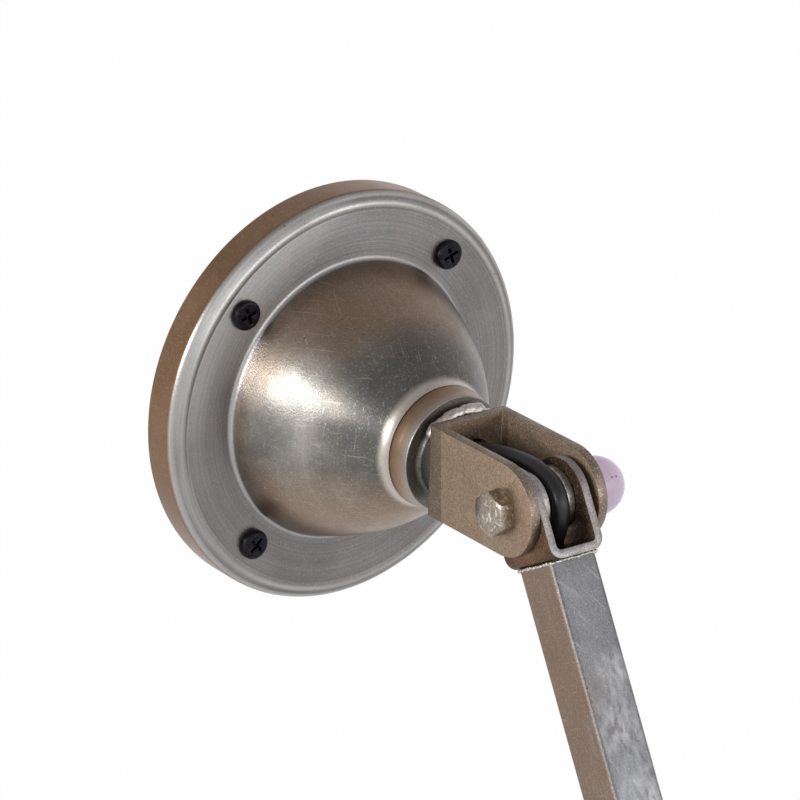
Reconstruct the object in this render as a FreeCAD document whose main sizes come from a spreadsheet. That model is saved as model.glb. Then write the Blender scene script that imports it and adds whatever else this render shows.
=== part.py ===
import FreeCAD, Part
import math
import os
import Sketcher

# Articulating wall lamp in square steel tube, hung from a spun steel canopy.
# Frame: the canopy's axis is Y, its back rim lies in the plane Y = 0 against the wall,
# the lamp reaches out along -Y, Z is up and every pivot bolt lies along X.
# Every piece is drawn in a frame of its own, whose Z axis runs the way the lamp runs
# from the wall to the shade, and whose X axis lies along the pivot bolts.

DRIVING_SIZES = {
    # canopy, seen as a turned profile: radius from the axis, height out from the wall
    "canopy_radius": 70.0,
    "canopy_height": 13.5,
    "canopy_edge": 5.0,
    "canopy_wall": 9.77,
    "canopy_corner": 1.27,
    "canopy_corner_top": 11.76,
    "canopy_corner_round": 2.2,
    "canopy_inner_corner": 0.4,
    "canopy_inner_slope": 10.4,
    "canopy_inner_round": 0.75,
    "canopy_skin": 1.5,
    "bell_foot_radius": 48.9,
    "bell_foot_fillet": 2.0,
    "bell_foot_inset": 1.93,
    "bell_foot_rise": 1.46,
    "bell_curve": 100.0,
    "bell_top_radius": 22.0,
    "bell_top_height": 58.0,
    "bell_inner_foot_inset": 3.37,
    "bell_inner_foot_rise": 1.05,
    "bell_inner_top_radius": 20.93,
    "bell_inner_top_height": 56.95,
    "neck_radius": 20.4,
    "neck_fillet": 5.8,
    "neck_height": 62.0,
    # wall screws: pan heads with a cross recess
    "screw_circle": 57.0,
    "screw_turn": 48.2,
    "screw_radius": 2.5,
    "screw_neck_radius": 2.2,
    "screw_neck": 3.0,
    "screw_length": 25.0,
    "screw_play": 0.3,
    "screw_head_radius": 5.0,
    "screw_head_side": 1.3,
    "screw_head_flat": 3.9,
    "screw_head_round": 1.12,
    "screw_head_height": 2.4,
    "cross_half_length": 2.6,
    "cross_half_width": 0.6,
    "cross_depth": 1.6,
    # swivel boss that the wall fork is welded to
    "boss_band": 63.4,
    "boss_rim_radius": 19.3,
    "boss_rim_height": 69.2,
    "boss_waist": 16.0,
    "boss_rim_edge": 0.4,
    "boss_face_radius": 15.8,
    "boss_root_radius": 14.2,
    "boss_root_round": 1.6,
    "boss_bore": 8.0,
    "boss_spigot_radius": 10.0,
    "boss_spigot_end": 49.0,
    "running_play": 0.05,
    "swivel_washer_radius": 15.5,
    "swivel_washer_height": 1.5,
    "swivel_nut_flats": 27.0,
    "swivel_nut_height": 6.0,
    # forks, links and pivot hardware
    "pivot_out": 113.0,
    "fork_width": 30.0,
    "fork_half": 15.3,
    "fork_plate": 3.5,
    "fork_reach": 37.8,
    "fork_offset": 0.6,
    "fork_bend": 1.5,
    "link_width": 20.6,
    "link_half": 12.5,
    "link_plate": 2.8,
    "link_reach": 19.0,
    "link_offset": 2.1,
    "link_bend": 4.2,
    "link_side": 1.1,
    "bolt_radius": 4.0,
    "bolt_flats": 13.0,
    "bolt_head": 5.3,
    "bolt_turn": 20.0,
    "bolt_tail": 9.0,
    "nut_height": 6.5,
    "hex_crown": 6.1,
    "washer_radius": 8.4,
    "washer_play": 0.2,
    "washer_height": 1.1,
    "cap_radius": 9.5,
    "cap_straight": 7.0,
    "cap_bore": 7.9,
    "cap_bore_depth": 10.0,
    "spool_radius": 10.3,
    "spool_groove": 3.4,
    "spool_groove_rim": 8.8,
    "spool_groove_round": 3.41,
    "spool_play": 0.15,
    # arms: square tube between the pivots, tilts counted outwards from straight up
    "tube_half": 9.0,
    "tube_wall": 1.5,
    "tube_corner": 1.8,
    "lower_length": 400.0,
    "lower_tilt": 151.0,
    "upper_length": 350.0,
    "upper_tilt": 75.0,
    "head_tilt": 180.0,
    # cord
    "cord_radius": 3.1,
    "fork_cord_hole": 8.2,
    "link_cord_hole": 5.0,
    "cord_start": 53.0,
    "cord_lead": 46.0,
    "cord_climb_from": 27.0,
    "cord_climb": 7.4,
    "cord_top": 11.3,
    "cord_top_from": 2.0,
    "cord_wrap": 12.0,
    "cord_over": 11.4,
    "cord_over_past": 0.6,
    "cord_fall": 6.5,
    "cord_fall_past": 9.3,
    "cord_lead_out": 14.0,
    # lampholder and shade, heights counted from the head pivot down
    "holder_radius": 20.4,
    "holder_wall": 2.0,
    "holder_round": 6.0,
    "holder_length": 52.0,
    "holder_flange_radius": 26.0,
    "holder_flange_height": 2.0,
    "socket_back": 6.0,
    "socket_radius": 17.5,
    "socket_bore": 13.4,
    "socket_floor": 28.4,
    "socket_length": 56.0,
    "ring_radius": 23.0,
    "ring_height": 4.0,
    "shade_skin": 1.2,
    "shade_hole_play": 0.2,
    "shade_top_radius": 27.0,
    "shade_dome_curve": 52.0,
    "shade_waist_radius": 70.0,
    "shade_waist_depth": 38.0,
    "shade_mouth_radius": 101.0,
    "shade_depth": 92.6,
    "shade_lip": 2.2,
    "bulb_cap_radius": 13.1,
    "bulb_cap_length": 26.0,
    "bulb_tip_radius": 4.5,
    "bulb_tip_height": 1.5,
    "bulb_neck_radius": 14.5,
    "bulb_neck_length": 8.0,
    "bulb_shoulder_radius": 27.0,
    "bulb_shoulder_drop": 13.0,
    "bulb_radius": 30.0,
    "bulb_length": 105.0,
    # mains terminals inside the bell
    "strip_half_length": 59.0,
    "strip_half_width": 8.0,
    "strip_corner": 4.0,
    "strip_height": 1.5,
    "block_half_length": 15.0,
    "block_half_width": 7.5,
    "block_height": 14.0,
    "block_pitch": 10.0,
    "block_wire_hole": 2.0,
    "block_screw_hole": 2.3,
    "block_screw_depth": 4.0,
    "earth_radius": 2.0,
    "earth_head_radius": 4.0,
    "earth_head_height": 2.7,
    "earth_length": 6.0,
    "earth_out": 38.0,
    "feed_gap": 0.3,
}

FULL_TURN = 360.0
HEX_CORNER = 1 / math.sqrt(3)
HEX_SLOPE = math.sqrt(3)
SHARP_BEND = math.radians(65)

doc = FreeCAD.newDocument("ArticulatingWallLamp")
sheet = doc.addObject("Spreadsheet::Sheet", "Sizes")


class Size:
    """A length or an angle: its value now, and the sheet expression that gives it."""

    def __init__(self, value, text):
        self.value = value
        self.text = text

    def __add__(self, other):
        other = as_size(other)
        return Size(self.value + other.value, f"({self.text} + {other.text})")

    def __sub__(self, other):
        other = as_size(other)
        return Size(self.value - other.value, f"({self.text} - {other.text})")

    def __mul__(self, factor):
        return Size(self.value * factor, f"({self.text} * {factor})")

    def __neg__(self):
        return self * -1.0


def as_size(number):
    """Wrap a plain number, so that it can stand beside the sheet's sizes."""
    if isinstance(number, Size):
        return number
    return Size(float(number), f"{float(number)}")


class Sizes:
    """The driving sizes, each a Size under its own name."""

    def __init__(self):
        for row, (name, value) in enumerate(DRIVING_SIZES.items(), start=1):
            sheet.set(f"A{row}", name)
            sheet.set(f"B{row}", str(value))
            sheet.setAlias(f"B{row}", name)
            setattr(self, name, Size(value, f"Sizes.{name}"))


size = Sizes()
doc.recompute()
ZERO = as_size(0.0)
subparts = []


def bind(thing, **properties):
    """Bind each named property of an object to its size's expression."""
    for name, value in properties.items():
        thing.setExpression(name, value.text)


def keep(thing, label, placement):
    """Name a finished sub-part, put it in its place and list it."""
    thing.Label = label
    thing.Placement = placement
    subparts.append(thing)
    return thing


def frame_at(point, tilt):
    """Frame at a point of the middle plane, its Z axis tilted outwards from up."""
    return FreeCAD.Placement(point, FreeCAD.Rotation(FreeCAD.Vector(1, 0, 0), tilt))


def shifted(frame, x, y, z):
    """Frame moved along its own axes."""
    return frame.multiply(FreeCAD.Placement(FreeCAD.Vector(x, y, z), FreeCAD.Rotation()))


def crosswise(frame, x=0.0, turn=0.0):
    """Frame with its Z axis along the pivot bolt, x out from the middle plane."""
    lay = FreeCAD.Rotation(FreeCAD.Vector(0, 1, 0), 90)
    spin = FreeCAD.Rotation(FreeCAD.Vector(0, 0, 1), turn)
    return frame.multiply(FreeCAD.Placement(FreeCAD.Vector(x, 0, 0), lay.multiply(spin)))


# ---------------------------------------------------------------- sketch helpers

def new_body(label):
    return doc.addObject("PartDesign::Body", label)


def new_sketch(body, role, height=None):
    """Sketch on one of the body's own origin planes, or at a height above it."""
    sketch = body.newObject("Sketcher::SketchObject", "Sketch")
    plane = next(item for item in body.Origin.OriginFeatures if item.Role == role)
    sketch.AttachmentSupport = [(plane, "")]
    sketch.MapMode = "FlatFace"
    if height is not None:
        sketch.setExpression("AttachmentOffset.Base.z", height.text)
    return sketch


def constrain(sketch, kind, *values):
    """Add a constraint whose last value is a Size, and bind it to the sheet."""
    *places, last = values
    index = sketch.addConstraint(Sketcher.Constraint(kind, *places, last.value))
    sketch.setExpression(f"Constraints[{index}]", last.text)


def pin_point(sketch, geometry, point, x, y):
    constrain(sketch, "DistanceX", -1, 1, geometry, point, x)
    constrain(sketch, "DistanceY", -1, 1, geometry, point, y)


def arc_between(start, end, radius):
    """Arc from start to end: a positive radius curves to the left, a negative one to the right."""
    chord = end.sub(start)
    left = FreeCAD.Vector(-chord.y, chord.x, 0).normalize()
    reach = math.sqrt(radius ** 2 - (chord.Length / 2) ** 2)
    middle = start.add(end).multiply(0.5)
    side = 1.0 if radius > 0 else -1.0
    centre = middle.add(left.multiply(reach * side))
    circle = Part.Circle(centre, FreeCAD.Vector(0, 0, 1), abs(radius))
    first = math.atan2(start.y - centre.y, start.x - centre.x)
    last = math.atan2(end.y - centre.y, end.x - centre.x)
    if radius < 0:
        first, last = last, first
    if last < first:
        last += math.tau
    return Part.ArcOfCircle(circle, first, last)


def outline(sketch, corners):
    """Closed outline through corners (x, y), or (x, y, radius) where an arc leads to the corner."""
    places = [FreeCAD.Vector(as_size(c[0]).value, as_size(c[1]).value, 0) for c in corners]
    edges = []
    for number, corner in enumerate(corners):
        start = places[number - 1]
        end = places[number]
        if len(corner) == 3:
            radius = as_size(corner[2])
            edge = sketch.addGeometry(arc_between(start, end, radius.value), False)
            ends = (1, 2) if radius.value > 0 else (2, 1)
            constrain(sketch, "Radius", edge, radius if radius.value > 0 else -radius)
        else:
            edge = sketch.addGeometry(Part.LineSegment(start, end), False)
            ends = (1, 2)
        edges.append((edge, *ends))
    for number, (edge, first, last) in enumerate(edges):
        before, _, before_last = edges[number - 1]
        sketch.addConstraint(Sketcher.Constraint("Coincident", before, before_last, edge, first))
        pin_point(sketch, edge, last, as_size(corners[number][0]), as_size(corners[number][1]))


def circle(sketch, x, y, radius):
    centre = FreeCAD.Vector(x.value, y.value, 0)
    edge = sketch.addGeometry(Part.Circle(centre, FreeCAD.Vector(0, 0, 1), radius.value), False)
    pin_point(sketch, edge, 3, x, y)
    constrain(sketch, "Radius", edge, radius)


def box_outline(sketch, low_x, high_x, low_y, high_y):
    outline(sketch, [(high_x, low_y), (high_x, high_y), (low_x, high_y), (low_x, low_y)])


def square_outline(sketch, centre_y, half, corner):
    """Square about (0, centre_y) with rounded corners."""
    near = half - corner
    outline(sketch, [
        (half, centre_y - near, corner),
        (half, centre_y + near),
        (near, centre_y + half, corner),
        (-near, centre_y + half),
        (-half, centre_y + near, corner),
        (-half, centre_y - near),
        (-near, centre_y - half, corner),
        (near, centre_y - half),
    ])


def turned(label, corners):
    """Body turned about Z from a closed outline of (radius, height) corners."""
    body = new_body(label)
    sketch = new_sketch(body, "XZ_Plane")
    outline(sketch, corners)
    revolution = body.newObject("PartDesign::Revolution", "Revolution")
    revolution.Profile = sketch
    revolution.ReferenceAxis = (sketch, ["V_Axis"])
    revolution.Angle = FULL_TURN
    sketch.Visibility = False
    return body


def pad(body, sketch, length, both_ways=False):
    feature = body.newObject("PartDesign::Pad", "Pad")
    feature.Profile = sketch
    feature.Midplane = both_ways
    bind(feature, Length=length)
    return feature


def pocket(body, sketch, length=None, both_ways=False):
    """Pocket through the whole body, or to a given depth."""
    feature = body.newObject("PartDesign::Pocket", "Pocket")
    feature.Profile = sketch
    feature.Midplane = both_ways
    if length is None:
        feature.Type = "ThroughAll"
    else:
        bind(feature, Length=length)
    return feature


def drilled(body, role, x, y, radius, both_ways=False):
    """Round hole through the body, square to one of its origin planes."""
    sketch = new_sketch(body, role)
    circle(sketch, x, y, radius)
    return pocket(body, sketch, both_ways=both_ways)


def polar(body, feature, count):
    """Repeat a feature about the body's Z axis."""
    axis = next(item for item in body.Origin.OriginFeatures if item.Role == "Z_Axis")
    pattern = body.newObject("PartDesign::PolarPattern", "PolarPattern")
    pattern.Originals = [feature]
    pattern.Axis = (axis, [""])
    pattern.Angle = FULL_TURN
    pattern.Occurrences = count
    body.Tip = pattern
    return pattern


def rounded(body, feature, names, radius):
    """Round the named edges of the body's last feature."""
    fillet = body.newObject("PartDesign::Fillet", "Fillet")
    fillet.Base = (feature, names)
    bind(fillet, Radius=radius)
    return fillet


# ---------------------------------------------------------------- Part primitives

def solid(kind, height=None, **sizes):
    """Part primitive, at a given height where it is one of several in a piece."""
    thing = doc.addObject(f"Part::{kind}", kind)
    bind(thing, **sizes)
    if height is not None:
        thing.setExpression("Placement.Base.z", height.text)
    return thing


def joined(kind, base, tool):
    """Cut, Common or Fuse of two objects."""
    result = doc.addObject(f"Part::{kind}", kind)
    result.Base = base
    result.Tool = tool
    return result


def hexagon(height, flats, thickness, crown_below):
    """Hexagon head or nut, its corners chamfered at 30 degrees on one side."""
    prism = solid("Prism", height, Circumradius=flats * HEX_CORNER, Height=thickness)
    prism.Polygon = 6
    small = size.hex_crown * (flats.value / size.bolt_flats.value)
    large = small + thickness * HEX_SLOPE
    if crown_below:
        cone = solid("Cone", height, Radius1=small, Radius2=large, Height=thickness)
    else:
        cone = solid("Cone", height, Radius1=large, Radius2=small, Height=thickness)
    cone.Angle = FULL_TURN
    return joined("Common", prism, cone)


# ---------------------------------------------------------------- canopy and screws

WALL = frame_at(FreeCAD.Vector(0, 0, 0), 90)


def make_canopy():
    """Spun shell: side wall, sloped edge, flat flange, foot fillet, bell, neck and the neck's flat end."""
    height = size.canopy_height
    skin = size.canopy_skin
    body = turned("canopy", [
        (size.canopy_radius - skin, ZERO),
        (size.canopy_radius, ZERO),
        (size.canopy_radius, size.canopy_wall),
        (size.canopy_radius - size.canopy_corner, size.canopy_corner_top,
         size.canopy_corner_round),
        (size.canopy_radius - size.canopy_edge, height),
        (size.bell_foot_radius, height),
        (size.bell_foot_radius - size.bell_foot_inset, height + size.bell_foot_rise,
         -size.bell_foot_fillet),
        (size.bell_top_radius, size.bell_top_height, size.bell_curve),
        (size.neck_radius, size.neck_height, -size.neck_fillet),
        (size.boss_spigot_radius + size.running_play, size.neck_height),
        (size.boss_spigot_radius + size.running_play, size.neck_height - skin),
        (size.neck_radius - skin, size.neck_height - skin),
        (size.bell_inner_top_radius, size.bell_inner_top_height, size.neck_fillet + skin),
        (size.bell_foot_radius - size.bell_inner_foot_inset, height + size.bell_inner_foot_rise,
         -(size.bell_curve - skin)),
        (size.bell_foot_radius, height - skin, size.bell_foot_fillet + skin),
        (size.canopy_radius - size.canopy_edge, height - skin),
        (size.canopy_radius - skin - size.canopy_inner_corner, size.canopy_inner_slope),
        (size.canopy_radius - skin, size.canopy_wall, -size.canopy_inner_round),
    ])
    hole = drilled(body, "XY_Plane", size.screw_circle, ZERO, size.screw_radius + size.screw_play)
    hole.Reversed = True
    polar(body, hole, 4)
    turn = FreeCAD.Rotation(FreeCAD.Vector(0, 0, 1), size.screw_turn.value)
    keep(body, "canopy", WALL.multiply(FreeCAD.Placement(FreeCAD.Vector(), turn)))


def make_wall_screw(number):
    """Pan head screw with a cross recess: plain neck through the flange, thread into the wall."""
    seat = size.canopy_height
    body = turned("wall_screw", [
        (ZERO, seat - size.screw_length),
        (size.screw_radius, seat - size.screw_length),
        (size.screw_radius, seat - size.screw_neck),
        (size.screw_neck_radius, seat - size.screw_neck),
        (size.screw_neck_radius, seat),
        (size.screw_head_radius, seat),
        (size.screw_head_radius, seat + size.screw_head_side),
        (size.screw_head_flat, seat + size.screw_head_height, size.screw_head_round),
        (ZERO, seat + size.screw_head_height),
    ])
    long = size.cross_half_length
    slim = size.cross_half_width
    sketch = new_sketch(body, "XY_Plane", seat + size.screw_head_height)
    outline(sketch, [
        (long, -slim), (long, slim), (slim, slim), (slim, long), (-slim, long), (-slim, slim),
        (-long, slim), (-long, -slim), (-slim, -slim), (-slim, -long), (slim, -long), (slim, -slim),
    ])
    pocket(body, sketch, size.cross_depth)
    turn = math.radians(size.screw_turn.value + number * FULL_TURN / 4)
    reach = size.screw_circle.value
    body.Placement = shifted(WALL, reach * math.cos(turn), reach * math.sin(turn), 0)
    return body


def group(label, members):
    """Identical fasteners that share one node."""
    compound = doc.addObject("Part::Compound", label)
    compound.Links = members
    keep(compound, label, FreeCAD.Placement())


# ---------------------------------------------------------------- swivel and terminals

def make_swivel():
    """Boss with a waisted collar, turning in the neck's end, held by a washer and a hexagon nut."""
    seat = size.neck_height + size.running_play
    boss = turned("swivel_boss", [
        (size.boss_bore, size.boss_spigot_end),
        (size.boss_spigot_radius, size.boss_spigot_end),
        (size.boss_spigot_radius, seat),
        (size.neck_radius, seat),
        (size.neck_radius, size.boss_band),
        (size.boss_rim_radius, size.boss_rim_height, -size.boss_waist),
        (size.boss_rim_radius - size.boss_rim_edge, size.boss_rim_height + size.boss_rim_edge,
         size.boss_rim_edge),
        (size.boss_face_radius, size.boss_rim_height + size.boss_rim_edge),
        (size.boss_root_radius, size.boss_rim_height + size.boss_rim_edge + size.boss_root_round,
         -size.boss_root_round),
        (size.boss_root_radius, size.pivot_out - size.fork_reach),
        (size.boss_bore, size.pivot_out - size.fork_reach),
    ])
    keep(boss, "swivel_boss", WALL)
    top = size.neck_height - size.canopy_skin - size.running_play
    washer = turned("swivel_washer", [
        (size.boss_spigot_radius, top - size.swivel_washer_height),
        (size.swivel_washer_radius, top - size.swivel_washer_height),
        (size.swivel_washer_radius, top),
        (size.boss_spigot_radius, top),
    ])
    keep(washer, "swivel_washer", WALL)
    base = top - size.swivel_washer_height - size.swivel_nut_height
    blank = hexagon(base, size.swivel_nut_flats, size.swivel_nut_height, True)
    bore = solid("Cylinder", base, Radius=size.boss_spigot_radius, Height=size.swivel_nut_height)
    keep(joined("Cut", blank, bore), "swivel_nut", WALL)


def make_terminals():
    """Steel strip across the flange, with the mains terminal block and the earth screw on it."""
    top = size.canopy_height - size.canopy_skin
    long = size.strip_half_length
    wide = size.strip_half_width
    corner = size.strip_corner
    strip = new_body("terminal_strip")
    sketch = new_sketch(strip, "XY_Plane", top - size.strip_height)
    outline(sketch, [
        (long, corner - wide, corner), (long, wide - corner),
        (long - corner, wide, corner), (corner - long, wide),
        (-long, wide - corner, corner), (-long, corner - wide),
        (corner - long, -wide, corner), (long - corner, -wide),
    ])
    pad(strip, sketch, size.strip_height)
    drilled(strip, "XY_Plane", size.earth_out, ZERO, size.earth_radius).Reversed = True
    keep(strip, "terminal_strip", WALL)

    block = new_body("terminal_block")
    sketch = new_sketch(block, "XY_Plane", top)
    long = size.block_half_length
    wide = size.block_half_width
    box_outline(sketch, -long, long, -wide, wide)
    pad(block, sketch, size.block_height)
    wires = new_sketch(block, "XZ_Plane")
    wells = new_sketch(block, "XY_Plane", top + size.block_height)
    for place in (-size.block_pitch, size.block_pitch):
        circle(wires, place, top + size.block_height * 0.4, size.block_wire_hole)
        circle(wells, place, ZERO, size.block_screw_hole)
    pocket(block, wires, both_ways=True)
    pocket(block, wells, size.block_screw_depth)
    keep(block, "terminal_block", WALL)

    earth = turned("earth_screw", [
        (ZERO, top - size.earth_length),
        (size.earth_radius, top - size.earth_length),
        (size.earth_radius, top),
        (size.earth_head_radius, top),
        (size.earth_head_radius, top + size.earth_head_height),
        (ZERO, top + size.earth_head_height),
    ])
    keep(earth, "earth_screw", shifted(WALL, size.earth_out.value, 0, 0))


# ---------------------------------------------------------------- forks and pivots

def make_fork(label, frame, ahead, width, half, plate, reach, offset, bend, hole, cord_hole):
    """Strip bent to a U: round ended ears beside the bolt, web square to the arm.

    ahead is 1 where the web lies beyond the bolt, and -1 where it lies before it.
    """
    body = new_body(label)
    web = reach * ahead
    low = web if ahead < 0 else ZERO
    high = ZERO if ahead < 0 else web
    sketch = new_sketch(body, "YZ_Plane")
    box_outline(sketch, offset - half, offset + half, low, high)
    pad(body, sketch, width, both_ways=True)
    sketch = new_sketch(body, "YZ_Plane")
    circle(sketch, offset, ZERO, half)
    last = pad(body, sketch, width, both_ways=True)
    doc.recompute()
    corners = [
        f"Edge{number}" for number, edge in enumerate(last.Shape.Edges, start=1)
        if abs(edge.CenterOfMass.z - web.value) < 0.01 and abs(edge.CenterOfMass.x) > width.value * 0.49
    ]
    rounded(body, last, corners, bend)
    slot = new_sketch(body, "XZ_Plane")
    inside = width * 0.5 - plate
    far = (half + plate) * -ahead
    low, high = (far, web - plate) if ahead > 0 else (web + plate, far)
    box_outline(slot, -inside, inside, low, high)
    pocket(body, slot, both_ways=True)
    drilled(body, "YZ_Plane", ZERO, ZERO, hole, both_ways=True)
    drilled(body, "XY_Plane", ZERO, size.fork_offset, cord_hole).Reversed = ahead > 0
    keep(body, label, frame)


def make_pivot(name, inner, outer):
    """One pivot: fork, link, hexagon bolt and nut under a cap, washers, and the grooved spool.

    The link lies against the ear on the bolt head's side, and two washers fill the other gap.
    """
    aside = shifted(outer, -size.link_side.value, 0, 0)
    make_fork(f"{name}_fork", inner, -1, size.fork_width, size.fork_half, size.fork_plate,
              size.fork_reach, size.fork_offset, size.fork_bend, size.bolt_radius,
              size.fork_cord_hole)
    make_fork(f"{name}_link", aside, 1, size.link_width, size.link_half, size.link_plate,
              size.link_reach, size.link_offset, size.link_bend,
              size.bolt_radius + size.running_play, size.link_cord_hole)

    side = size.fork_width * 0.5
    head = hexagon(-side - size.bolt_head, size.bolt_flats, size.bolt_head, True)
    shank = solid("Cylinder", -side - size.bolt_head * 0.5, Radius=size.bolt_radius,
                  Height=size.fork_width + size.bolt_tail + size.bolt_head * 0.5)
    across = crosswise(inner, turn=size.bolt_turn.value)
    keep(joined("Fuse", head, shank), f"{name}_bolt", across)
    blank = hexagon(side, size.bolt_flats, size.nut_height, False)
    bore = solid("Cylinder", side, Radius=size.bolt_radius, Height=size.nut_height)
    keep(joined("Cut", blank, bore), f"{name}_nut", across)

    cap = turned(f"{name}_cap", [
        (size.cap_bore, side),
        (size.cap_radius, side),
        (size.cap_radius, side + size.cap_straight),
        (ZERO, side + size.cap_straight + size.cap_radius, size.cap_radius),
        (ZERO, side + size.cap_bore_depth),
        (size.cap_bore, side + size.cap_bore_depth),
    ])
    keep(cap, f"{name}_cap", across)

    washers = []
    gap = side - size.fork_plate
    for low in (gap - size.washer_height, gap - size.washer_height * 2):
        washer = turned("pivot_washer", [
            (size.bolt_radius + size.washer_play, low),
            (size.washer_radius, low),
            (size.washer_radius, low + size.washer_height),
            (size.bolt_radius + size.washer_play, low + size.washer_height),
        ])
        washer.Placement = across
        washers.append(washer)
    group(f"{name}_washers", washers)

    half = size.link_width * 0.5 - size.link_plate - size.spool_play
    left = -half - size.link_side
    right = half - size.link_side
    spool = turned(f"{name}_spool", [
        (size.bolt_radius + size.running_play, left),
        (size.spool_radius, left),
        (size.spool_radius, -size.spool_groove),
        (size.spool_groove_rim, -size.spool_groove),
        (size.spool_groove_rim, size.spool_groove, -size.spool_groove_round),
        (size.spool_radius, size.spool_groove),
        (size.spool_radius, right),
        (size.bolt_radius + size.running_play, right),
    ])
    keep(spool, f"{name}_spool", crosswise(outer))
    make_pivot_cord(f"{name}_cord", inner, outer)


# ---------------------------------------------------------------- cord

def soft_route(points):
    """Wire of straight runs joined by tangent arcs, each as large as its two runs allow."""
    edges = []
    here = points[0]
    for number in range(1, len(points) - 1):
        before, corner, after = points[number - 1:number + 2]
        back = before.sub(corner)
        on = after.sub(corner)
        turn = math.pi - back.getAngle(on)
        shorter = min(back.Length, on.Length)
        cut = 0.45 * shorter
        radius = cut / math.tan(turn / 2)
        back.normalize()
        on.normalize()
        start = corner.add(back * cut)
        end = corner.add(on * cut)
        inward = back.add(on).normalize()
        middle = corner.add(inward * (math.hypot(radius, cut) - radius))
        edges.append(Part.LineSegment(here, start).toShape())
        edges.append(Part.Arc(start, middle, end).toShape())
        print(f"cord arc radius {radius:.1f}")
        here = end
    edges.append(Part.LineSegment(here, points[-1]).toShape())
    return Part.Wire(edges)


def make_pivot_cord(label, inner, outer):
    """Cord out of the boss or arm, over the spool's groove, and into the link's web."""
    bend = outer.Rotation.Angle - inner.Rotation.Angle
    side = 1 if bend > 0 else -1
    offset = size.fork_offset.value
    over = inner.multVec(FreeCAD.Vector(0, side, 0)).sub(inner.Base)
    under = outer.multVec(FreeCAD.Vector(0, side, 0)).sub(outer.Base)
    points = [
        inner.multVec(FreeCAD.Vector(0, offset, -size.cord_start.value)),
        inner.multVec(FreeCAD.Vector(0, offset, -size.cord_lead.value)),
        inner.multVec(FreeCAD.Vector(0, side * size.cord_climb.value, -size.cord_climb_from.value)),
        inner.multVec(FreeCAD.Vector(0, side * size.cord_top.value, -size.cord_top_from.value)),
        outer.multVec(FreeCAD.Vector(0, side * size.cord_over.value, size.cord_over_past.value)),
        outer.multVec(FreeCAD.Vector(0, side * size.cord_fall.value, size.cord_fall_past.value)),
        outer.multVec(FreeCAD.Vector(0, offset, size.cord_lead_out.value)),
        outer.multVec(FreeCAD.Vector(0, offset, size.link_reach.value)),
    ]
    if abs(bend) > SHARP_BEND:
        middle = over.add(under).normalize().multiply(size.cord_wrap.value)
        points.insert(4, inner.Base.add(middle))
    route = soft_route(points)
    along = points[1].sub(points[0])
    ring = Part.Wire([Part.Circle(points[0], along, size.cord_radius.value).toShape()])
    tube = route.makePipeShell([ring], True, False)
    near = route.distToShape(Part.Vertex(inner.Base))[0]
    print(f"{label}: bend {math.degrees(bend):.0f} degrees, nearest to the bolt {near:.2f} mm")
    section = math.pi * size.cord_radius.value ** 2
    print(f"{label}: length {route.Length:.1f} mm, volume ratio {tube.Volume / section / route.Length:.4f}")
    feature = doc.addObject("Part::Feature", label)
    feature.Shape = tube
    keep(feature, label, FreeCAD.Placement())


def make_straight_cord(label, frame, height, length):
    cord = solid("Cylinder", Radius=size.cord_radius, Height=length)
    keep(cord, label, shifted(frame, 0, 0, height.value))


# ---------------------------------------------------------------- arms

def make_arm(name, frame, length):
    """Square tube from the link's web to the next fork's web, with the cord inside."""
    span = length - size.link_reach - size.fork_reach
    cord_span = length - size.link_reach - size.cord_start
    tube = new_body(f"{name}_tube")
    sketch = new_sketch(tube, "XY_Plane")
    square_outline(sketch, ZERO, size.tube_half, size.tube_corner)
    square_outline(sketch, ZERO, size.tube_half - size.tube_wall, size.tube_corner - size.tube_wall)
    pad(tube, sketch, span)
    keep(tube, f"{name}_tube", shifted(frame, 0, size.fork_offset.value, size.link_reach.value))
    make_straight_cord(f"{name}_cord", shifted(frame, 0, size.fork_offset.value, 0),
                       size.link_reach, cord_span)


# ---------------------------------------------------------------- lampholder and shade

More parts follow.
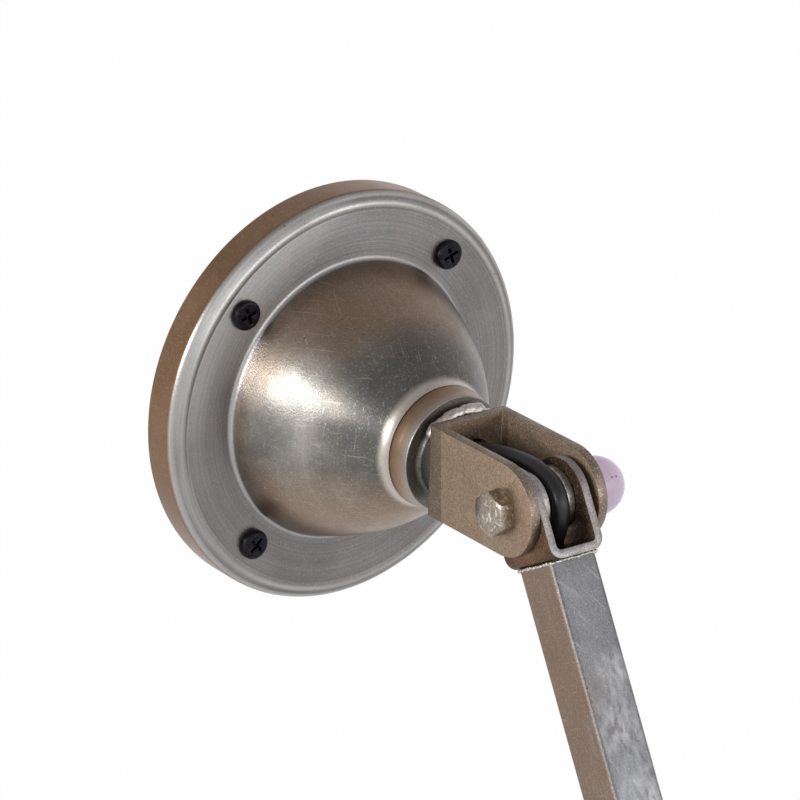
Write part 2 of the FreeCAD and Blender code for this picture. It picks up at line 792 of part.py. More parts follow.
def make_head(frame):
    """Holder cup on the last link, lampholder, shade clamped by its ring, and bulb."""
    top = size.link_reach
    bottom = top + size.holder_length
    inner = size.holder_radius - size.holder_wall
    holder = turned("shade_holder", [
        (size.boss_bore, top),
        (size.holder_radius - size.holder_round, top),
        (size.holder_radius, top + size.holder_round, size.holder_round),
        (size.holder_radius, bottom - size.holder_flange_height),
        (size.holder_flange_radius, bottom - size.holder_flange_height),
        (size.holder_flange_radius, bottom),
        (inner, bottom),
        (inner, top + size.holder_round),
        (size.holder_radius - size.holder_round, top + size.holder_wall,
         -(size.holder_round - size.holder_wall)),
        (size.boss_bore, top + size.holder_wall),
    ])
    keep(holder, "shade_holder", frame)

    back = top + size.socket_back
    mouth = back + size.socket_length
    socket = turned("lampholder", [
        (ZERO, back),
        (size.socket_radius, back),
        (size.socket_radius, mouth),
        (size.socket_bore, mouth),
        (size.socket_bore, back + size.socket_floor),
        (ZERO, back + size.socket_floor),
    ])
    keep(socket, "lampholder", frame)

    skin = size.shade_skin
    ring = turned("shade_ring", [
        (size.socket_radius, bottom + skin),
        (size.ring_radius, bottom + skin),
        (size.ring_radius, bottom + skin + size.ring_height),
        (size.socket_radius, bottom + skin + size.ring_height),
    ])
    keep(ring, "shade_ring", frame)

    hole = size.socket_radius + size.shade_hole_play
    lip = size.shade_lip
    mouth_radius = size.shade_mouth_radius
    rim = bottom + size.shade_depth
    shade = turned("shade", [
        (hole, bottom),
        (size.shade_top_radius, bottom),
        (size.shade_waist_radius, bottom + size.shade_waist_depth, size.shade_dome_curve),
        (mouth_radius - lip * 0.8090, rim - lip * 0.5878),
        (mouth_radius + lip * 0.9397, rim - lip * 0.3420, lip),
        (mouth_radius - lip * 0.1736, rim + lip * 0.9848, lip),
        (mouth_radius - lip * 0.9848, rim + lip * 0.1736, lip),
        (size.shade_waist_radius - skin, bottom + size.shade_waist_depth),
        (size.shade_top_radius, bottom + skin, -(size.shade_dome_curve - skin)),
        (hole, bottom + skin),
    ])
    keep(shade, "shade", frame)

    glass = mouth
    tip = glass - size.bulb_cap_length
    cap = turned("bulb_cap", [
        (ZERO, tip - size.bulb_tip_height),
        (size.bulb_tip_radius, tip - size.bulb_tip_height),
        (size.bulb_tip_radius, tip),
        (size.bulb_cap_radius, tip + size.bulb_tip_height),
        (size.bulb_cap_radius, glass),
        (ZERO, glass),
    ])
    keep(cap, "bulb_cap", frame)
    end = tip + size.bulb_length
    middle = end - size.bulb_radius
    bulb = turned("bulb_glass", [
        (ZERO, glass),
        (size.bulb_cap_radius, glass),
        (size.bulb_neck_radius, glass + size.bulb_neck_length),
        (size.bulb_shoulder_radius, middle - size.bulb_shoulder_drop),
        (size.bulb_radius, middle, size.bulb_radius),
        (ZERO, end, size.bulb_radius),
    ])
    keep(bulb, "bulb_glass", frame)
    make_straight_cord("lampholder_cord", frame, top, size.socket_back)


# ---------------------------------------------------------------- the whole lamp

def main():
    make_canopy()
    group("wall_screws", [make_wall_screw(number) for number in range(4)])
    make_swivel()
    make_terminals()
    feed = size.canopy_height - size.canopy_skin + size.block_height + size.feed_gap
    make_straight_cord("feed_cord", WALL, feed, size.pivot_out - size.cord_start - feed)

    shoulder = shifted(WALL, 0, -size.fork_offset.value, size.pivot_out.value)
    lower = frame_at(shoulder.Base, size.lower_tilt.value)
    make_pivot("shoulder", shoulder, lower)
    make_arm("lower_arm", lower, size.lower_length)

    elbow = shifted(lower, 0, 0, size.lower_length.value)
    upper = frame_at(elbow.Base, size.upper_tilt.value)
    make_pivot("elbow", elbow, upper)
    make_arm("upper_arm", upper, size.upper_length)

    wrist = shifted(upper, 0, 0, size.upper_length.value)
    head = frame_at(wrist.Base, size.head_tilt.value)
    make_pivot("head", wrist, head)
    make_head(shifted(head, 0, size.fork_offset.value, 0))

    doc.recompute()
    for thing in doc.Objects:
        if "Invalid" in thing.State or "Error" in thing.State:
            raise RuntimeError(f"{thing.Name} ({thing.Label}) did not build: {thing.State}")
    for thing in subparts:
        if thing.Shape.isNull() or not thing.Shape.isValid():
            raise RuntimeError(f"{thing.Label} has no valid shape")
    os.makedirs("parts", exist_ok=True)
    for thing in subparts:
        thing.Shape.exportStep(f"parts/{thing.Label}.step")
        print(f"{thing.Label}: {len(thing.Shape.Solids)} solids, {thing.Shape.Volume:.0f} mm3")


main()
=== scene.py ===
import math
import random

import bpy
from mathutils import Matrix, Vector


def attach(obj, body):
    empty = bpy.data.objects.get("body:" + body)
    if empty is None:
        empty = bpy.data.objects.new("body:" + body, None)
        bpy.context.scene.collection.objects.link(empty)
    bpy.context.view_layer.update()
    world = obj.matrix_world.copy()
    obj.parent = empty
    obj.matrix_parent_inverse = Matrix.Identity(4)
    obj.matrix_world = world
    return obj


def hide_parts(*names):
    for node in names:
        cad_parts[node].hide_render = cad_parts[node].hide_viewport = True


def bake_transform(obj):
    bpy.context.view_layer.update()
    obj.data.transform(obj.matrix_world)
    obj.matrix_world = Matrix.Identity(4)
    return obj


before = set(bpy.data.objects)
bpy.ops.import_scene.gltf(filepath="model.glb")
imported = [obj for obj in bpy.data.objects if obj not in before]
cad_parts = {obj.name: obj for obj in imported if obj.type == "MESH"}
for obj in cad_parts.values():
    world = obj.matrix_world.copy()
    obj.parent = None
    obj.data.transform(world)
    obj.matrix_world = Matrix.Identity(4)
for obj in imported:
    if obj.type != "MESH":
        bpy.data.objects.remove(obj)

bl_info = {
    "name": "Articulating Wall Lamp",
    "version": (1, 0, 0),
    "blender": (4, 5, 0),
    "location": "View3D > Sidebar > Wall Lamp",
    "description": "Steel wall lamp with a spun canopy, bolted fork pivots and square tube arms",
    "category": "Add Mesh",
}

# The canopy's axis is Y and its back rim lies in the plane Y = 0. The lamp reaches out
# along -Y, Z is up, and the pivot bolts lie along X. Sizes are in metres.

MM = 0.001
QUARTER = math.radians(90)
CARRIER = {"shoulder": "wall_fork", "elbow": "lower_arm", "head": "upper_arm"}
CARRIED = {"shoulder": "lower_arm", "elbow": "upper_arm", "head": "shade_head"}


# ---------------------------------------------------------------- sizes and colours

def length(name, text, millimetres):
    return bpy.props.FloatProperty(
        name=name, description=text, default=millimetres * MM, min=0.0, unit="LENGTH", precision=4)


def angle(name, text, degrees):
    return bpy.props.FloatProperty(
        name=name, description=text, default=math.radians(degrees), unit="ROTATION")


def tint(name, text, colour):
    return bpy.props.FloatVectorProperty(
        name=name, description=text, default=colour, size=3, min=0.0, max=1.0, subtype="COLOR")


class LampSizes(bpy.types.PropertyGroup):
    canopy_radius: length("Canopy radius", "Radius of the flange's side wall", 70)
    canopy_height: length("Canopy height", "From the wall to the flange's face", 13.5)
    canopy_wall: length("Canopy wall", "Height of the straight side wall", 9.87)
    bell_foot: length("Bell foot", "Radius where the bell rises from the flange", 48.9)
    bell_curve: length("Bell curve", "Radius of the bell's swelling side", 100)
    screw_circle: length("Screw circle", "Radius that the wall screws stand on", 57)
    screw_turn: angle("Screw turn", "Turn of the screw pattern from the pivot bolts' line", 48.2)
    pivot_out: length("Pivot distance", "From the wall to the shoulder's bolt", 113)
    fork_width: length("Fork width", "Across the outside of a fork's ears", 30)
    fork_half: length("Fork half height", "Radius of a fork's ear ends", 15.3)
    fork_plate: length("Fork plate", "Thickness of a fork's strip", 3.5)
    fork_reach: length("Fork reach", "From the bolt to the back of the fork's web", 37.8)
    link_width: length("Link width", "Across the outside of a link's ears", 20.6)
    link_half: length("Link half height", "Radius of a link's ear ends", 12.5)
    link_plate: length("Link plate", "Thickness of a link's strip", 2.8)
    link_reach: length("Link reach", "From the bolt to the far side of the link's web", 19)
    link_side: length("Link side step", "How far a link sits towards the bolt's head", 1.1)
    rise: length("Arm rise", "How far an arm's middle lies beside its bolts' line", 0.6)
    tube_half: length("Tube half width", "Half the square tube's width", 9)
    tube_wall: length("Tube wall", "Thickness of the square tube", 1.5)
    lower_length: length("Lower arm", "From the shoulder's bolt to the elbow's", 400)
    lower_tilt: angle("Lower tilt", "Lower arm's turn outwards from straight up", 151)
    upper_length: length("Upper arm", "From the elbow's bolt to the head's", 350)
    upper_tilt: angle("Upper tilt", "Upper arm's turn outwards from straight up", 75)
    head_tilt: angle("Head tilt", "Shade's turn outwards from straight up", 180)
    cord_radius: length("Cord radius", "Half the cord's thickness", 3.1)
    roller_radius: length("Roller radius", "Radius of a pivot's grooved roller", 10.3)
    cap_radius: length("Cap radius", "Radius of the dome over a pivot's nut", 9.5)
    holder_radius: length("Holder radius", "Radius of the cup over the lampholder", 20.4)
    shade_mouth: length("Shade mouth", "Radius of the shade's mouth", 101)
    shade_waist: length("Shade waist", "Radius where the dome meets the flare", 70)


class LampColours(bpy.types.PropertyGroup):
    flange: tint("Flange steel", "Spun steel of the flange", (0.200, 0.198, 0.197))
    bell: tint("Bell steel", "Silver grey steel of the bell", (0.345, 0.325, 0.298))
    patina: tint("Patina", "Brown bloom on side walls and edges", (0.200, 0.116, 0.066))
    collar: tint("Collar brown", "Copper brown of the boss's collar", (0.290, 0.200, 0.140))
    plate: tint("Fork steel", "Taupe strip of the forks", (0.295, 0.221, 0.158))
    link: tint("Link steel", "Wide faces of the links", (0.112, 0.079, 0.055))
    edge: tint("Fork edge", "Cut edges of the forks", (0.225, 0.180, 0.145))
    worn: tint("Link edge", "Cut edges of the links, worn bright", (0.255, 0.247, 0.247))
    # Painted highlight colour of the canopy's rim, rim corner, foot ring and upper left flange
    # patch.
    highlight_steel: tint("Rubbed steel", "Rims and corners rubbed bright", (0.420, 0.412, 0.398))
    tube: tint("Tube steel", "Blue grey steel of the square tube", (0.158, 0.161, 0.171))
    flank: tint("Tube flank", "Brown sides of the square tube", (0.240, 0.178, 0.134))
    rust: tint("Rust", "Rust film in corners and on the tube's sides", (0.200, 0.096, 0.042))
    zinc: tint("Zinc", "Plated nuts and washers", (0.420, 0.400, 0.380))
    bolt: tint("Bolt zinc", "Dulled zinc of the pivot bolts", (0.370, 0.305, 0.250))
    roller: tint("Roller steel", "Turned steel of the rollers", (0.430, 0.415, 0.400))
    weld: tint("Weld", "Weld metal", (0.520, 0.500, 0.480))
    black: tint("Screw black", "Blackened wall screws", (0.022, 0.021, 0.026))
    cap: tint("Cap lilac", "Dome caps", (0.560, 0.440, 0.570))
    cord: tint("Cord black", "Rubber sheath", (0.010, 0.010, 0.011))
    bakelite: tint("Bakelite", "Lampholder and ring", (0.030, 0.024, 0.020))
    enamel: tint("Enamel", "White inside of the shade", (0.780, 0.770, 0.730))
    floor: tint("Floor", "Pale floor", (0.850, 0.850, 0.850))


# ---------------------------------------------------------------- places

def frame_at(point, tilt):
    """Frame whose Z runs the way the lamp runs, tilt counted outwards from straight up."""
    return Matrix.Translation(point) @ Matrix.Rotation(tilt, 4, "X")


def shifted(place, x, y, z):
    return place @ Matrix.Translation((x, y, z))


def across(place, turn=0.0):
    """Frame with its Z along the pivot bolt."""
    return place @ Matrix.Rotation(QUARTER, 4, "Y") @ Matrix.Rotation(turn, 4, "Z")


WALL = frame_at((0, 0, 0), QUARTER)


def mm(*numbers):
    return tuple(number * MM for number in numbers)


def panel_values(context):
    return context.scene.lamp_sizes, context.scene.lamp_colours


def screw_places(size, height):
    """Where the four wall screws stand, in the canopy's own frame."""
    turns = [size.screw_turn + number * math.tau / 4 for number in range(4)]
    return [(size.screw_circle * math.cos(turn), size.screw_circle * math.sin(turn), height)
            for turn in turns]


def pivot_frames(size):
    """Inner and outer frame of each pivot, from the wall to the shade."""
    shoulder = shifted(WALL, 0, -size.rise, size.pivot_out)
    lower = frame_at(shoulder.translation, size.lower_tilt)
    elbow = shifted(lower, 0, 0, size.lower_length)
    upper = frame_at(elbow.translation, size.upper_tilt)
    wrist = shifted(upper, 0, 0, size.upper_length)
    head = frame_at(wrist.translation, size.head_tilt)
    return {"shoulder": (shoulder, lower), "elbow": (elbow, upper), "head": (wrist, head)}


# ---------------------------------------------------------------- modelling by hand

def deselect():
    bpy.ops.object.select_all(action="DESELECT")


def only(piece):
    deselect()
    piece.select_set(True)
    bpy.context.view_layer.objects.active = piece
    return piece


def edit(mode="VERT", action="SELECT"):
    """Enter edit mode with the whole mesh selected, or none of it."""
    bpy.ops.object.mode_set(mode="EDIT")
    bpy.ops.mesh.select_mode(type=mode)
    bpy.ops.mesh.select_all(action=action)


def done():
    bpy.ops.object.mode_set(mode="OBJECT")
    return bpy.context.object


def merged(nearer_than=0.001 * MM):
    """Merge the doubles of the whole mesh, in edit mode."""
    bpy.ops.mesh.select_all(action="SELECT")
    bpy.ops.mesh.remove_doubles(threshold=nearer_than)


def fix_place():
    """Put a piece's place in its mesh and leave its object at the origin."""
    bpy.ops.object.transform_apply(location=True, rotation=True, scale=True)
    return bpy.context.object


def arc_steps(turn, radius):
    """Steps of an arc: at most 9 degrees and 3.5 mm each, and two at least."""
    return max(2, math.ceil(max(abs(turn) / math.radians(9), abs(turn) * radius / (3.5 * MM))))


def turned(points, closed=True, around=96):
    """Profile drawn point by point and spun round Z. A point is (radius, height) or
    (radius, height, arc): it is reached by an arc, turning left where arc is positive."""
    deselect()
    bpy.ops.mesh.primitive_plane_add(size=MM)
    edit()
    bpy.ops.mesh.merge(type="CENTER")
    bpy.ops.mesh.select_all(action="SELECT")
    here = Vector((points[0][0], 0, points[0][1]))
    bpy.ops.transform.translate(value=here)
    for point in list(points[1:]) + ([points[0][:2]] if closed else []):
        there = Vector((point[0], 0, point[1]))
        step = there - here
        if len(point) == 2:
            bpy.ops.mesh.extrude_region_move(TRANSFORM_OT_translate={"value": step})
        else:
            radius = abs(point[2])
            turn = 2 * math.asin(min(1.0, step.length / 2 / radius))
            away = math.sqrt(max(0.0, radius ** 2 - (step.length / 2) ** 2))
            side = math.copysign(1, point[2])
            left = Vector((-step.z, 0, step.x)).normalized() * side
            bpy.ops.mesh.spin(steps=arc_steps(turn, radius), angle=turn * side,
                              center=(here + there) / 2 + left * away, axis=(0, 1, 0))
        here = there
    bpy.ops.mesh.select_all(action="SELECT")
    bpy.ops.mesh.spin(steps=around, angle=math.tau, center=(0, 0, 0), axis=(0, 0, 1))
    merged()
    bpy.ops.mesh.normals_make_consistent(inside=False)
    return done()


def block(size, middle):
    deselect()
    bpy.ops.mesh.primitive_cube_add(size=1, location=middle, scale=size)
    return fix_place()


def rod(radius, depth, middle, along="Z", sides=48):
    deselect()
    turn = {"X": (0, QUARTER, 0), "Z": (0, 0, 0)}[along]
    bpy.ops.mesh.primitive_cylinder_add(vertices=sides, radius=radius, depth=depth,
                                        location=middle, rotation=turn)
    return fix_place()


def bevel_edges(piece, chosen, width, segments):
    """Round the edges whose two ends chosen() accepts."""
    only(piece)
    edit("EDGE", "DESELECT")
    done()
    ends = piece.data.vertices
    for edge in piece.data.edges:
        edge.select = chosen(*(ends[number].co for number in edge.vertices))
    bpy.ops.object.mode_set(mode="EDIT")
    bpy.ops.mesh.select_mode(type="EDGE")
    bpy.ops.mesh.bevel(offset=width, segments=segments, affect="EDGES")
    merged(0.002 * MM)
    return done()


def apply(piece, kind, **settings):
    only(piece)
    modifier = piece.modifiers.new(kind.title(), kind)
    for name, value in settings.items():
        setattr(modifier, name, value)
    bpy.ops.object.modifier_apply(modifier=modifier.name)
    return piece


def cut(piece, tool):
    apply(piece, "BOOLEAN", operation="DIFFERENCE", object=tool, solver="EXACT")
    bpy.data.objects.remove(tool)
    return piece


def softened(piece, width):
    """Break the sharp edges, so that they catch the light."""
    return apply(piece, "BEVEL", width=width, segments=2, limit_method="ANGLE",
                 angle_limit=math.radians(32), harden_normals=False)


def joined(pieces):
    only(pieces[0])
    for piece in pieces:
        piece.select_set(True)
    bpy.ops.object.join()
    return bpy.context.object


def twin(piece):
    only(piece)
    bpy.ops.object.duplicate()
    return bpy.context.object


def seat(piece, place):
    """Put a piece in its place with its object left at the origin."""
    only(piece)
    piece.matrix_world = place
    return fix_place()


def smooth(piece, degrees=35):
    only(piece)
    bpy.ops.object.shade_smooth_by_angle(angle=math.radians(degrees))
    return piece


def settle(piece, name, body, finish, slot, *nodes):
    """Name a finished piece, give it its finish and let it ride on its body."""
    piece.name = name
    piece.data.name = name
    marks = [face.material_index for face in piece.data.polygons]
    piece.data.materials.clear()
    finishes = finish if isinstance(finish, tuple) else (finish,)
    for one in finishes:
        piece.data.materials.append(one)
    if len(finishes) > 1:
        piece.data.polygons.foreach_set("material_index", marks)
    if body:
        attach(piece, body)
    if nodes:
        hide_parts(*nodes)
    return piece


def refined(node, width):
    """Copy of a machined node with its facets merged and its edges broken."""
    piece = twin(bpy.data.objects[node])
    edit()
    merged(0.01 * MM)
    bpy.ops.mesh.dissolve_limited(angle_limit=math.radians(1))
    done()
    return smooth(softened(piece, width))


def dress(node, finish):
    """Give a node that stays as it is its finish."""
    materials = bpy.data.objects[node].data.materials
    materials.clear()
    materials.append(finish)


# ---------------------------------------------------------------- node trees

class Tree:
    """A node tree filled in from left to right. Colours are given as three parts."""

    def __init__(self, tree):
        self.tree = tree
        self.tree.nodes.clear()

    def feed(self, socket, value):
        if isinstance(value, bpy.types.NodeSocket):
            self.tree.links.new(value, socket)
        elif socket.type == "RGBA":
            socket.default_value = (*value, 1.0)
        else:
            socket.default_value = value

    def add(self, kind, inputs=None, **settings):
        node = self.tree.nodes.new(kind)
        for name, value in settings.items():
            setattr(node, name, value)
        for name, value in (inputs or {}).items():
            self.feed(node.inputs[name], value)
        return node

    def maths(self, operation, first, second=0.0):
        return self.add("ShaderNodeMath", {0: first, 1: second}, operation=operation).outputs[0]

    def times(self, first, second):
        return self.maths("MULTIPLY", first, second)

    def span(self, value, low, high, start=0.0, end=1.0):
        return self.add("ShaderNodeMapRange", {
            "Value": value, "From Min": low, "From Max": high, "To Min": start, "To Max": end,
        }).outputs[0]

    def band(self, value, inner, outer, soft=0.4 * MM):
        """1 between two radii or heights, fading out on both sides."""
        return self.times(self.span(value, inner - soft, inner + soft),
                          self.span(value, outer + soft, outer - soft))

    def mix(self, factor, first, second, blend="MIX"):
        return self.add("ShaderNodeMix", {0: factor, 6: first, 7: second},
                        data_type="RGBA", blend_type=blend).outputs[2]

    def lay(self, below, above, mask, share):
        """Colour above over colour below, as strong as the mask times share."""
        return self.mix(self.times(mask, share), below, above)

    def scaled(self, colour, by):
        """Colour with its parts multiplied by one number, three numbers or a socket."""
        return self.mix(1.0, colour, (by, by, by) if isinstance(by, float) else by, "MULTIPLY")

    def parts(self, place):
        return self.add("ShaderNodeSeparateXYZ", {0: place}).outputs

    def radius(self, parts):
        """Distance from the Z axis."""
        return self.maths("SQRT", self.maths("ADD", self.maths("POWER", parts[0], 2.0),
                                             self.maths("POWER", parts[1], 2.0)))

    def mapped(self, place, **values):
        return self.add("ShaderNodeMapping", {"Vector": place, **values}).outputs[0]

    def place_on(self, place=None, stretch=None):
        """Object coordinates, turned and centred on a piece's own frame, then stretched."""
        found = self.add("ShaderNodeTexCoord").outputs["Object"]
        if place is not None:
            back = place.inverted()
            found = self.mapped(found, Location=back.translation, Rotation=back.to_euler())
        return self.mapped(found, Scale=stretch) if stretch else found

    def noise(self, place, scale, detail, roughness=0.5, distortion=0.0):
        return self.add("ShaderNodeTexNoise", {
            "Vector": place, "Scale": scale, "Detail": detail, "Roughness": roughness,
            "Distortion": distortion,
        }).outputs[0]

    def effect(self, group, place, **values):
        return self.add("ShaderNodeGroup", {"Place": place, **values}, node_tree=group).outputs

    def mottle(self, place, scale, low, high, shift=(0, 0, 0)):
        return self.effect(mottle_group(), place, Shift=shift, Scale=scale, Low=low,
                           High=high)["Mask"]


def effect_group(name, vectors, values, outputs, build):
    """Shader effect shared by several finishes. values are its numbers, by name."""
    if name in bpy.data.node_groups:
        return bpy.data.node_groups[name]
    group = bpy.data.node_groups.new(name, "ShaderNodeTree")
    sheet = Tree(group)
    for vector in vectors:
        group.interface.new_socket(name=vector, in_out="INPUT", socket_type="NodeSocketVector")
    for socket, value in values.items():
        group.interface.new_socket(name=socket, in_out="INPUT",
                                   socket_type="NodeSocketFloat").default_value = value
    for socket in outputs:
        group.interface.new_socket(name=socket, in_out="OUTPUT", socket_type="NodeSocketFloat")
    start = sheet.add("NodeGroupInput").outputs
    end = sheet.add("NodeGroupOutput")
    for socket, value in zip(outputs, build(sheet, start)):
        group.links.new(value, end.inputs[socket])
    return group


def mottle_group():
    """Soft patches: where the steel is stained, worn or clouded."""
    def build(sheet, start):
        moved = sheet.add("ShaderNodeVectorMath", {0: start["Place"], 1: start["Shift"]},
                          operation="ADD").outputs[0]
        return [sheet.span(sheet.noise(moved, start["Scale"], 5.0, 0.6), start["Low"],
                           start["High"])]
    return effect_group("Mottle", ["Place", "Shift"], {"Scale": 40.0, "Low": 0.4, "High": 0.65},
                        ["Mask"], build)


def speckle_group():
    """Fine grain of rolled or blasted steel, with scattered bright specks and dark pits."""
    def build(sheet, start):
        fine = sheet.noise(start["Place"], start["Scale"], 2.0, 0.7)
        cells = sheet.add("ShaderNodeTexVoronoi", {
            "Vector": start["Place"], "Scale": start["Scale"],
        }).outputs
        spot = sheet.span(cells["Distance"], 0.48, 0.18)
        chance = sheet.parts(cells["Color"])[0]
        return [sheet.span(fine, 0.3, 0.7),
                sheet.times(spot, sheet.span(chance, 0.55, 0.80)),
                sheet.times(spot, sheet.span(chance, 0.26, 0.12))]
    return effect_group("Speckle", ["Place"], {"Scale": 1500.0}, ["Grain", "Specks", "Pits"], build)


def scratch_group():
    """Thin scattered scratches that run three ways."""
    def build(sheet, start):
        found = None
        for turn in ((0.3, 0.9, 0.2), (1.1, 0.2, 1.9), (2.2, 1.4, 0.7)):
            along = sheet.mapped(sheet.mapped(start["Place"], Rotation=turn),
                                 Scale=(0.045, 1.0, 1.0))
            line = sheet.span(sheet.noise(along, start["Scale"], 1.0, 0.5, 0.3), 0.66, 0.78)
            found = line if found is None else sheet.maths("MAXIMUM", found, line)
        return [found]
    return effect_group("Scratches", ["Place"], {"Scale": 900.0}, ["Mask"], build)


def spun_group():
    """Lines left by turning round Z, with slow changes along each ring."""
    def build(sheet, start):
        parts = sheet.parts(start["Place"])
        ring = sheet.add("ShaderNodeCombineXYZ", {
            0: sheet.radius(parts), 1: parts[2], 2: 0.0}).outputs[0]
        rings = sheet.noise(ring, start["Scale"], 4.0, 0.75)
        wide = sheet.noise(ring, sheet.times(start["Scale"], 0.16), 2.0)
        fading = sheet.noise(start["Place"], 30.0, 2.0)
        return [sheet.times(sheet.span(rings, 0.3, 0.7), sheet.span(fading, 0.35, 0.6, 0.35, 1.0)),
                sheet.span(wide, 0.35, 0.65)]
    return effect_group("Spun Lines", ["Place"], {"Scale": 900.0}, ["Lines", "Bands"], build)


def new_finish(name):
    material = bpy.data.materials.new(name)
    material.use_nodes = True
    sheet = Tree(material.node_tree)
    shader = sheet.add("ShaderNodeBsdfPrincipled")
    sheet.add("ShaderNodeOutputMaterial", {0: shader.outputs[0]})
    return material, sheet, shader


def finished(material, sheet, shader, colour, roughness, height, bump, **plain):
    """Feed a shader: colour and roughness that change over the surface, the rest plain."""
    raised = sheet.add("ShaderNodeBump", {
        "Height": height, "Strength": bump, "Distance": 0.0002}).outputs[0]
    for name, value in {"Base Color": colour, "Roughness": roughness, "Normal": raised,
                        **plain}.items():
        sheet.feed(shader.inputs[name.replace("_", " ")], value)
    return material


# ---------------------------------------------------------------- finishes

BARE = (0.62, 0.60, 0.57)
SHADOW = (0.62, 0.60, 0.58)


def spun_steel(name, place, colour, patina, rough=0.30, canopy=None):
    """Spun steel: turning lines, clouds, scratches and grain.

    With canopy, the colours of the lamp, it takes the canopy's own zones, painted highlights and
    shade among them.
    """
    material, sheet, shader = new_finish(name)
    local = sheet.place_on(place)
    lines = sheet.effect(spun_group(), local, Scale=1400.0)
    stains = sheet.mottle(local, 38.0, 0.42, 0.68)
    grains = sheet.effect(speckle_group(), local, Scale=1500.0)
    scratches = sheet.effect(scratch_group(), local, Scale=1250.0)["Mask"]
    bright = sheet.scaled(colour, (1.42, 1.42, 1.43))
    steel = sheet.mix(lines["Lines"], sheet.scaled(colour, (0.66, 0.65, 0.64)), bright)
    steel = sheet.lay(steel, bright, lines["Bands"], 0.35)
    steel = sheet.lay(steel, patina, stains, 0.20)
    relief = sheet.times(lines["Lines"], 0.6)
    nicked = 0.12
    coarse = 0.22
    if canopy is not None:
        steel, inside = canopy_zones(sheet, place, local, steel, lines, stains, canopy)
        relief = sheet.times(relief, sheet.span(inside, 0.0, 1.0, 1.0, 0.35))
        nicked = sheet.span(inside, 0.0, 1.0, 0.07, 0.22)
        coarse = sheet.span(inside, 0.0, 1.0, 0.20, 0.40)
    shadow = sheet.scaled(steel, SHADOW)
    steel = sheet.lay(steel, shadow, grains["Grain"], coarse)
    steel = sheet.lay(steel, shadow, grains["Pits"], coarse)
    steel = sheet.lay(steel, BARE, scratches, nicked)
    steel = sheet.lay(steel, (0.72, 0.69, 0.64), grains["Specks"], 0.12)
    pits = sheet.add("ShaderNodeTexVoronoi", {"Vector": local, "Scale": 210.0})
    pit = sheet.times(sheet.span(pits.outputs["Distance"], 0.085, 0.045),
                      sheet.span(stains, 0.1, 0.6))
    steel = sheet.lay(steel, (0.05, 0.04, 0.035), pit, 0.7)
    shine = sheet.maths("ADD", sheet.span(stains, 0.0, 1.0, rough, rough + 0.10),
                        sheet.times(lines["Lines"], 0.05))
    height = sheet.maths("ADD", relief, grains["Grain"])
    return finished(material, sheet, shader, steel, shine, height, 0.09, Metallic=1.0)


def canopy_zones(sheet, place, local, steel, lines, stains, canopy):
    """Cloudy bell inside the flange, painted highlights on the rim, its corner, the bell's foot, an
    upper left flange patch and the neck's fillet, a canopy painted lighter towards its left side,
    and a brown side wall.
    """
    parts = sheet.parts(local)
    radius = sheet.radius(parts)
    height = parts[2]
    # Painted light: the canopy is painted up to 1.45 times brighter towards its left (-X) side.
    steel = sheet.scaled(steel, sheet.span(parts[0], -0.030, -0.066, 1.0, 1.45))
    inside = sheet.span(radius, 0.0472, 0.0464)
    steel = sheet.mix(inside, steel, bell_tones(sheet, place, local, parts, lines, canopy))
    # Painted highlights: the rim ring, the rim's corner, the bell's foot and an upper left flange
    # patch are painted towards a bright colour in place of reflections.
    rim_ring = sheet.band(radius, 0.0653, 0.0668, 0.5 * MM)
    foot_ring = sheet.band(radius, 0.0474, 0.0482, 0.5 * MM)
    corner = sheet.times(sheet.span(radius, 0.0680, 0.0684), sheet.band(height, 0.0108, 0.0122))
    up_left = sheet.maths("SUBTRACT", sheet.times(parts[1], 0.66), sheet.times(parts[0], 0.75))
    flange_highlight_patch = sheet.times(sheet.times(sheet.span(up_left, 0.044, 0.056, 0.0, 0.75),
                                      sheet.span(inside, 1.0, 0.0)),
                          sheet.span(lines["Lines"], 0.0, 1.0, 0.55, 1.0))
    wear_and_highlights = rim_ring
    for mask in (corner, foot_ring, flange_highlight_patch):
        wear_and_highlights = sheet.maths("MAXIMUM", wear_and_highlights, mask)
    steel = sheet.lay(steel, canopy.highlight_steel, wear_and_highlights, sheet.span(stains, 0.0, 1.0, 0.95, 0.6))
    # Painted highlight: a ring on the neck's fillet is painted near white.
    neck = sheet.times(sheet.span(radius, 0.0232, 0.0214), sheet.span(height, 0.0575, 0.0595))
    steel = sheet.lay(steel, (0.62, 0.57, 0.51), neck, 0.8)
    # The side wall is painted brown up to its corner.
    wall = sheet.times(sheet.span(radius, 0.0672, 0.0676), sheet.span(height, 0.0114, 0.0104))
    brown_wall = sheet.mix(stains, canopy.patina, sheet.scaled(canopy.patina, (1.22, 1.24, 1.28)))
    return sheet.mix(wall, steel, brown_wall), inside


